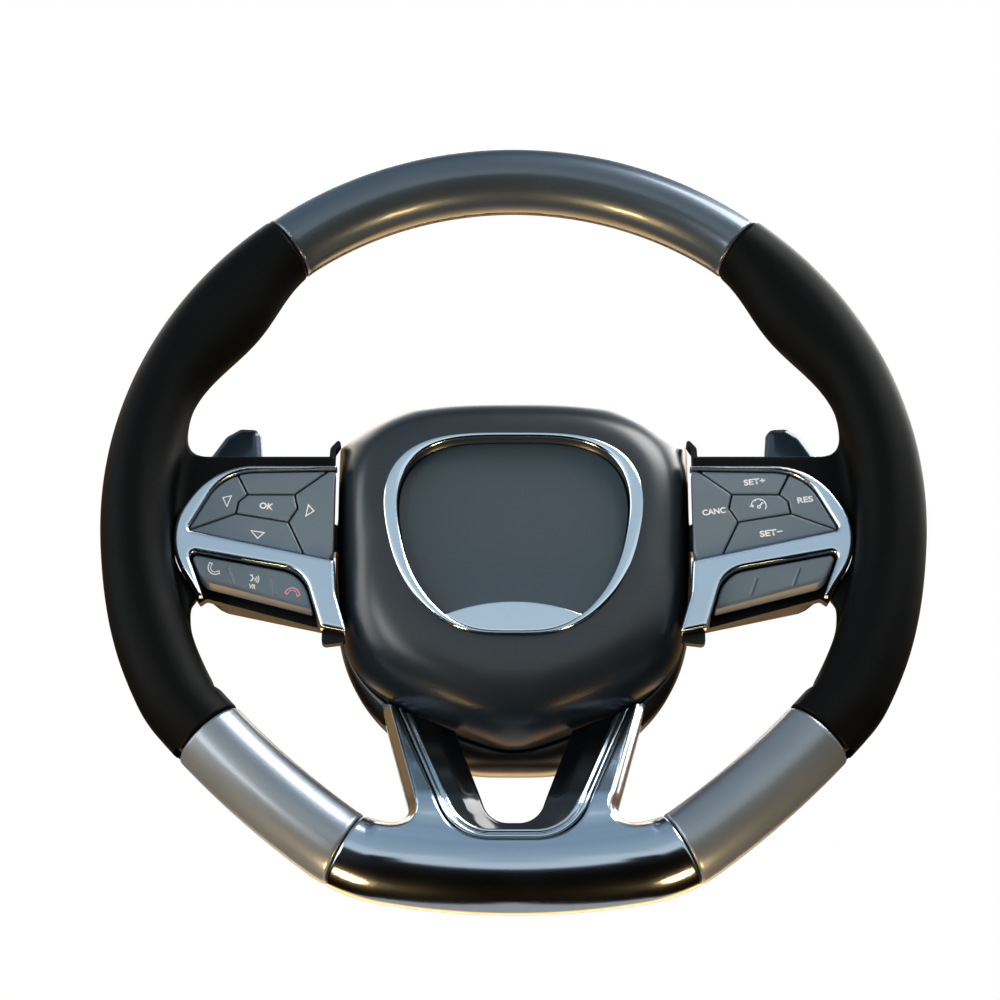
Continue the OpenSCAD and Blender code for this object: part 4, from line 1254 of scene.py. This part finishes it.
@dataclass
class Legends:
    """Printed words and symbols of the keys."""

    lift: float = 0.05
    line: float = 0.5
    word_offset: float = 0.034
    triangles: tuple = (
        ("outer", ((-133.4, 6.8), (-129.6, 7.7), (-131.3, 2.3))),
        ("inner", ((-94.0, 3.1), (-91.4, 0.0), (-95.0, -2.5))),
        ("down", ((-119.8, -9.8), (-113.8, -10.8), (-116.7, -13.6))),
    )
    words: tuple = (
        ("up", "SET+", 3.1, 10.0, (110.9, 15.1)), ("inner", "CANC", 3.0, 10.8, (91.8, -0.2)),
        ("outer", "RES", 3.1, 7.3, (133.8, 5.8)), ("down", "SET\u2212", 3.1, 10.6, (117.6, -10.8)),
    )

    def lay(self, flat: Outline, at: Vec, tilt: float) -> Points:
        """Lays flat points on the key faces.

        Args:
            flat: the points.
            at: place that their origin moves to.
            tilt: turn in degrees.

        Returns:
            The points just above the faces.
        """
        q = np.asarray(flat, float)
        c, s = unit(tilt)
        x, z = q[:, 0] * c - q[:, 1] * s + at[0], q[:, 0] * s + q[:, 1] * c + at[1]
        return np.column_stack([x, key_crown(z) - self.lift, z])

    def stroke(self, line: Outline, closed: bool, width: float) -> tuple[np.ndarray, list]:
        """Ribbon along a flat line.

        Args:
            line: points of the line.
            closed: whether it ends where it starts.
            width: width of the ribbon.

        Returns:
            Points and faces.
        """
        q = np.asarray(line, float)
        n = len(q)
        before = np.roll(q, 1, 0) if closed else np.vstack([2 * q[0] - q[1], q[:-1]])
        after = np.roll(q, -1, 0) if closed else np.vstack([q[1:], 2 * q[-1] - q[-2]])
        u = (q - before) / np.linalg.norm(q - before, axis=1, keepdims=True)
        v = (after - q) / np.linalg.norm(after - q, axis=1, keepdims=True)
        nu, nv = np.column_stack([-u[:, 1], u[:, 0]]), np.column_stack([-v[:, 1], v[:, 0]])
        side = (nu + nv) / np.maximum(1 + (nu * nv).sum(1, keepdims=True), 0.35) * width / 2
        points = np.vstack([q + side, q - side])
        faces = [(i, (i + 1) % n, (i + 1) % n + n, i + n) for i in range(n if closed else n - 1)]
        return points, faces

    @staticmethod
    def arc(at: Vec, r: float, start: float, end: float, count: int) -> np.ndarray:
        """Points of an arc between two angles."""
        return np.array([np.array(at) + r * unit(a) for a in np.linspace(start, end, count)])

    def handset(self) -> list[tuple]:
        """Strokes of a telephone handset, lying on its back.

        Returns:
            Points, whether they close, and width of each stroke.
        """
        return [
            (self.arc((0, -1.6), 3.3, 28, 152, 18), False, 0.55),
            (self.arc((0, -1.6), 2.2, 38, 142, 14), False, 0.4),
            ([(-2.9, 0.0), (-3.5, -1.0), (-2.4, -1.7), (-1.7, -0.5)], False, self.line),
            ([(2.9, 0.0), (3.5, -1.0), (2.4, -1.7), (1.7, -0.5)], False, self.line),
        ]

    def gauge(self) -> list[tuple]:
        """Strokes of the speed gauge with its pointer.

        Returns:
            Points, whether they close, and width of each stroke.
        """
        return [([unit(a) * 2.5, unit(a) * 3.4], False, 0.4) for a in (20, 65, 110)] + [
            (self.arc((0, 0), 3.4, -40, 175, 26), False, self.line),
            ([(0.2, -0.4), (2.0, 1.4)], False, 0.7),
            ([(-4.3, 0.2), (-2.6, 0.2)], False, self.line),
            ([(-3.2, 1.0), (-2.4, 0.2), (-3.2, -0.6)], False, self.line),
            (self.arc((0, -0.6), 0.7, 0, 340, 12), True, self.line),
        ]

    def speaker(self) -> list[tuple]:
        """Strokes of a talking head with sound waves.

        Returns:
            Points, whether they close, and width of each stroke.
        """
        face = [(-1.9, 3.2), (-0.9, 3.3), (-0.5, 2.4), (-0.1, 1.8), (-0.5, 1.5), (-0.6, 0.8), (-1.4, 0.7)]
        waves = ((1.3, -30, 40, 8), (2.1, -34, 46, 10), (2.9, -30, 44, 10))
        return [(face, False, 0.6)] + [(self.arc((-0.4, 1.4), *wave), False, 0.4) for wave in waves]

    def word(self, body: str, height: float, width: float) -> tuple[np.ndarray, list]:
        """Letters as a flat mesh, centred on their own middle.

        Args:
            body: the letters.
            height: height of a capital.
            width: width of the whole word.

        Returns:
            Points and faces.
        """
        curve = bpy.data.curves.new("word", "FONT")
        curve.body = body
        curve.size = 1.0
        curve.offset = self.word_offset
        obj = linked("word", curve)
        bpy.context.view_layer.update()
        mesh = bpy.data.meshes.new_from_object(obj.evaluated_get(bpy.context.evaluated_depsgraph_get()))
        q = np.array([v.co[:2] for v in mesh.vertices])
        faces = [tuple(f.vertices) for f in mesh.polygons]
        bpy.data.objects.remove(obj)
        bpy.data.curves.remove(curve)
        bpy.data.meshes.remove(mesh)
        low, high = q.min(0), q.max(0)
        return (q - (low + high) / 2) / (high - low) * [width, height], faces

    def mark(self, name: str, body: str, parts: Sequence[tuple], finish: Finish = WHITE_MARK) -> None:
        """Makes the print of one key.

        Args:
            name: the key's short name.
            body: the key that carries it.
            parts: flat points, faces, place and tilt of each part.
            finish: colour of the print.
        """
        points, faces, count = [], [], 0
        for flat, own, at, tilt in parts:
            points.append(self.lay(flat, at, tilt))
            faces += [tuple(i + count for i in f) for f in own]
            count += len(flat)
        place(make_object(f"mark_{name}", np.vstack(points), faces), finish, body)

    def strokes(self, lines: Sequence[tuple], at: Vec = (0, 0), tilt: float = 0.0) -> list[tuple]:
        """Parts for a set of strokes at one place."""
        return [(*self.stroke(*line), at, tilt) for line in lines]

    def build(self) -> None:
        """Prints all the keys."""
        tilt = KEY_TEXT_TILT
        for key, corners in self.triangles:
            self.mark(f"left_{key}", f"key_left_{key}", self.strokes([(corners, True, 0.55)]))
        self.mark("left_centre", "key_left_centre", [(*self.word("OK", 3.2, 6.4), (-113.2, 2.5), -tilt)])
        self.mark("left_phone", "bar_left", self.strokes(self.handset(), (-136.6, -28.6), 132))
        talk = self.strokes(self.speaker(), (-118.2, -34.6), -tilt)
        talk.append((*self.word("VR", 2.1, 3.2), (-118.4, -36.5), -tilt))
        self.mark("left_voice", "bar_left", talk)
        self.mark("left_end", "bar_left", self.strokes(self.handset(), (-100.0, -38.9), -10), RED_MARK)
        for key, body, height, width, at in self.words:
            self.mark(f"right_{key}", f"key_right_{key}", [(*self.word(body, height, width), at, tilt)])
        self.mark("right_centre", "key_right_centre", self.strokes(self.gauge(), (112.4, 2.7), tilt))


@dataclass
class Paddle:
    """Shift paddle of one side: a blade with its knuckle."""

    side: Side
    front: float = 46.0
    back: float = 49.5
    pin_x: float = 97.0
    outline: Outline = (
        (97, 6.6, 0), (97, -6.6, 0), (105, -8, 4), (112, -22, 8), (146, -24, 12), (153, 0, 22),
        (150.5, 40.5, 6), (138.5, 59.6, 6), (131.5, 64, 4), (121, 63.5, 5), (117.5, 25, 8), (105, 8, 4),
    )

    def blade(self, p: Points) -> np.ndarray:
        """Blade and knuckle with the pin's bore and the spring's slot.

        Args:
            p: places asked for.

        Returns:
            The paddle's field.
        """
        x, y, z = p.T
        blade = smooth_max(outline_distance(rounded(self.outline), x, z), self.front - y, 5.0)
        blade = smooth_max(blade, y - self.back, 1.2)
        ring = np.hypot(x - self.pin_x, y - self.back)
        body = smooth_min(blade, np.maximum(ring - 4.0, np.abs(z) - 7.5), 1.0)
        body = np.maximum(body, 1.55 - ring)
        return np.maximum(body, -np.maximum(ring - 5.0, np.abs(z) - 3.2))

    def build(self) -> None:
        """Builds the paddle."""
        title = f"paddle_{self.side.value}"
        obj = net_object(title + "_blade", self.blade, (92, 43.5, -26), (155, 54.5, 66), 0.7, self.side)
        place(obj, PADDLE_LACQUER, title, title)


@dataclass
class Studio:
    """Camera, floor, world, gloss cards and lamps.

    A card is a name, its lower and upper colour, its strength, the radius and height of
    its lower and upper edge, and the azimuths of its ends, where 0 is straight behind the
    camera. A lamp is a name, its place, size, power and colour.
    """

    distance: float = 1300.0
    elevation: float = -24.9
    focal_px: float = 2849.0
    centre_px: tuple[float, float] = (513.5, 506.4)
    sensor: float = 36.0
    floor_z: float = -0.8
    floor_half: float = 6.0
    cards: tuple = (
        ("card_horizon", "#f4fafd", "#dbe8f0", 1.25, (3.0, 0.0), (3.0, 1.0), (-104, 104)),
        ("card_sky", "#cddfea", "#9bb5ca", 1.08, (3.0, 1.0), (1.5, 2.7), (-104, 104)),
        ("card_zenith", "#a3bacd", "#4a565f", 1.3, (1.5, 2.7), (0.02, 3.0), (-180, 180)),
        ("card_wall", "#020202", "#040404", 1.0, (3.0, -0.77), (3.0, 0.0), (-150, 150)),
        ("card_ground", "#020202", "#020202", 1.0, (0.02, -0.76), (3.0, -0.765), (-150, 150)),
        ("card_warm", "#b07a3a", "#e8c890", 6.0, (1.0, -0.75), (2.9, -0.35), (150, 210)),
        ("card_back", "#fff0da", "#f4f6f8", 4.0, (2.4, 1.85), (1.7, 2.8), (112, 248)),
        ("card_key", "#ffffff", "#ffffff", 13.0, (1.9, 1.35), (1.1, 2.3), (24, 86)),
        ("card_amber", "#2a1c0e", "#9a7850", 1.9, (3.0, -0.1), (2.5, 1.95), (108, 252)),
    )
    lamps: tuple = (
        ("key_upper_right", (1.2, 0.9, 1.45), (1.5, 1.5), 45, "#ffffff"),
        ("fill_left", (-1.7, -0.75, 0.25), (0.9, 1.7), 17, "#fbfdff"),
        ("strip_left", (-1.1, -1.5, -0.12), (0.4, 0.7), 7, "#fbfdff"),
        ("warm_left", (-0.36, -0.2, -0.64), (0.12, 0.12), 3.4, "#ffcf8a"),
        ("warm_right", (0.36, -0.2, -0.64), (0.12, 0.12), 2.2, "#ffcf8a"),
    )

    def build(self) -> None:
        """Builds the studio."""
        self.camera()
        self.floor()
        self.world()
        for card in self.cards:
            self.card(*card)
        for lamp in self.lamps:
            self.lamp(*lamp)

    def camera(self) -> None:
        """Camera below the wheel's axis, at the photograph's angle."""
        data = bpy.data.cameras.new("camera")
        data.sensor_width = self.sensor
        data.lens = self.focal_px * self.sensor / 1000.0
        data.shift_x = (500 - self.centre_px[0]) / 1000
        data.shift_y = (self.centre_px[1] - 500) / 1000
        data.clip_end = 50
        camera = linked("camera", data)
        tilt = math.radians(-self.elevation)
        view = Vector((0, math.cos(tilt), math.sin(tilt)))
        camera.location = Vector((0, -DISH * MM, 0)) - view * self.distance * MM
        camera.rotation_euler = view.to_track_quat("-Z", "Y").to_euler()
        bpy.context.scene.camera = camera

    def floor(self) -> None:
        """Plain pale floor below the camera."""
        mesh = bpy.data.meshes.new("floor")
        corners = ((-1, -1), (1, -1), (1, 1), (-1, 1))
        points = [(u * self.floor_half, v * self.floor_half, self.floor_z) for u, v in corners]
        mesh.from_pydata(points, [], [(0, 1, 2, 3)])
        floor = linked("floor", mesh)
        dress(floor, Finish("studio_floor_paint", "#c9c9c8", 0.7, pitch=8.0, relief=0.0))

    def world(self) -> None:
        """White to the camera and to gloss, and a plain grey light on the object."""
        world = bpy.data.worlds.new("studio")
        bpy.context.scene.world = world
        world.use_nodes = True
        tree = world.node_tree
        tree.nodes.clear()
        path = add_node(tree, "ShaderNodeLightPath").outputs
        either = {"operation": "MAXIMUM"}
        one = add_node(tree, "ShaderNodeMath", either, {0: path["Is Camera Ray"], 1: path["Is Glossy Ray"]})
        two = add_node(tree, "ShaderNodeMath", either, {0: one.outputs[0], 1: path["Is Transmission Ray"]})
        seen = add_node(tree, "ShaderNodeBackground", {"Color": (1, 1, 1, 1), "Strength": 1.0})
        fill = add_node(tree, "ShaderNodeBackground", {"Color": linear("#d6dbe0"), "Strength": 0.4})
        parts = {0: two.outputs[0], 1: fill.outputs[0], 2: seen.outputs[0]}
        both = add_node(tree, "ShaderNodeMixShader", {}, parts)
        add_node(tree, "ShaderNodeOutputWorld", {}, {0: both.outputs[0]})

    def card(
        self, name: str, low: str, high: str, strength: float, foot: Vec, top: Vec, turn: Vec
    ) -> None:
        """Curved studio card that only gloss sees.

        Args:
            name: the card's name.
            low: colour at its lower edge.
            high: colour at its upper edge.
            strength: light that it gives, where 1 gives the colour as it is written.
            foot: radius and height of its lower edge.
            top: radius and height of its upper edge.
            turn: azimuths of its ends.
        """
        count, steps = 36, 10
        points = []
        for j in range(steps + 1):
            r, z = (a + (b - a) * j / steps for a, b in zip(foot, top))
            for i in range(count + 1):
                x, y = r * unit(turn[0] + (turn[1] - turn[0]) * i / count - 90)
                points.append((x, y, z))
        mesh = bpy.data.meshes.new(name)
        mesh.from_pydata(points, [], grid_faces(steps + 1, count + 1, False))
        obj = linked(name, mesh)
        made = bpy.data.materials.new(name)
        made.use_nodes = True
        tree = made.node_tree
        shader = tree.nodes["Principled BSDF"]
        shader.inputs["Base Color"].default_value = (0, 0, 0, 1)
        shader.inputs["Roughness"].default_value = 1.0
        shader.inputs["Specular IOR Level"].default_value = 0.0
        shader.inputs["Emission Strength"].default_value = strength
        coords = add_node(tree, "ShaderNodeTexCoord")
        split = add_node(tree, "ShaderNodeSeparateXYZ", {}, {0: coords.outputs["Generated"]})
        colours = {"data_type": "RGBA", 6: linear(low), 7: linear(high)}
        blend = add_node(tree, "ShaderNodeMix", colours, {0: split.outputs["Z"]})
        tree.links.new(blend.outputs[2], shader.inputs["Emission Color"])
        mesh.materials.append(made)
        obj.visible_camera = obj.visible_diffuse = obj.visible_shadow = False

    def lamp(self, name: str, where: Vec, size: Vec, power: float, colour: str) -> None:
        """Soft lamp turned to the wheel.

        Args:
            name: the lamp's name.
            where: its place in metres.
            size: its width and height.
            power: its power in watts.
            colour: its colour.
        """
        data = bpy.data.lights.new(name, "AREA")
        data.energy = power
        data.shape = "RECTANGLE"
        data.size, data.size_y = size
        data.color = linear(colour)[:3]
        obj = linked(name, data)
        obj.location = where
        view = Vector((0, -0.05, 0)) - Vector(where)
        obj.rotation_euler = view.to_track_quat("-Z", "Y").to_euler()


def main() -> None:
    """Builds and dresses the whole wheel."""
    bpy.context.scene.view_settings.view_transform = "Standard"
    dress_cad_nodes()
    Rim().build()
    LowerSpoke().build()
    HubPad().build()
    RearCover().build()
    for side in Side:
        SwitchPod(side).build()
        Paddle(side).build()
    Legends().build()
    Studio().build()


if __name__ == "__main__":
    main()
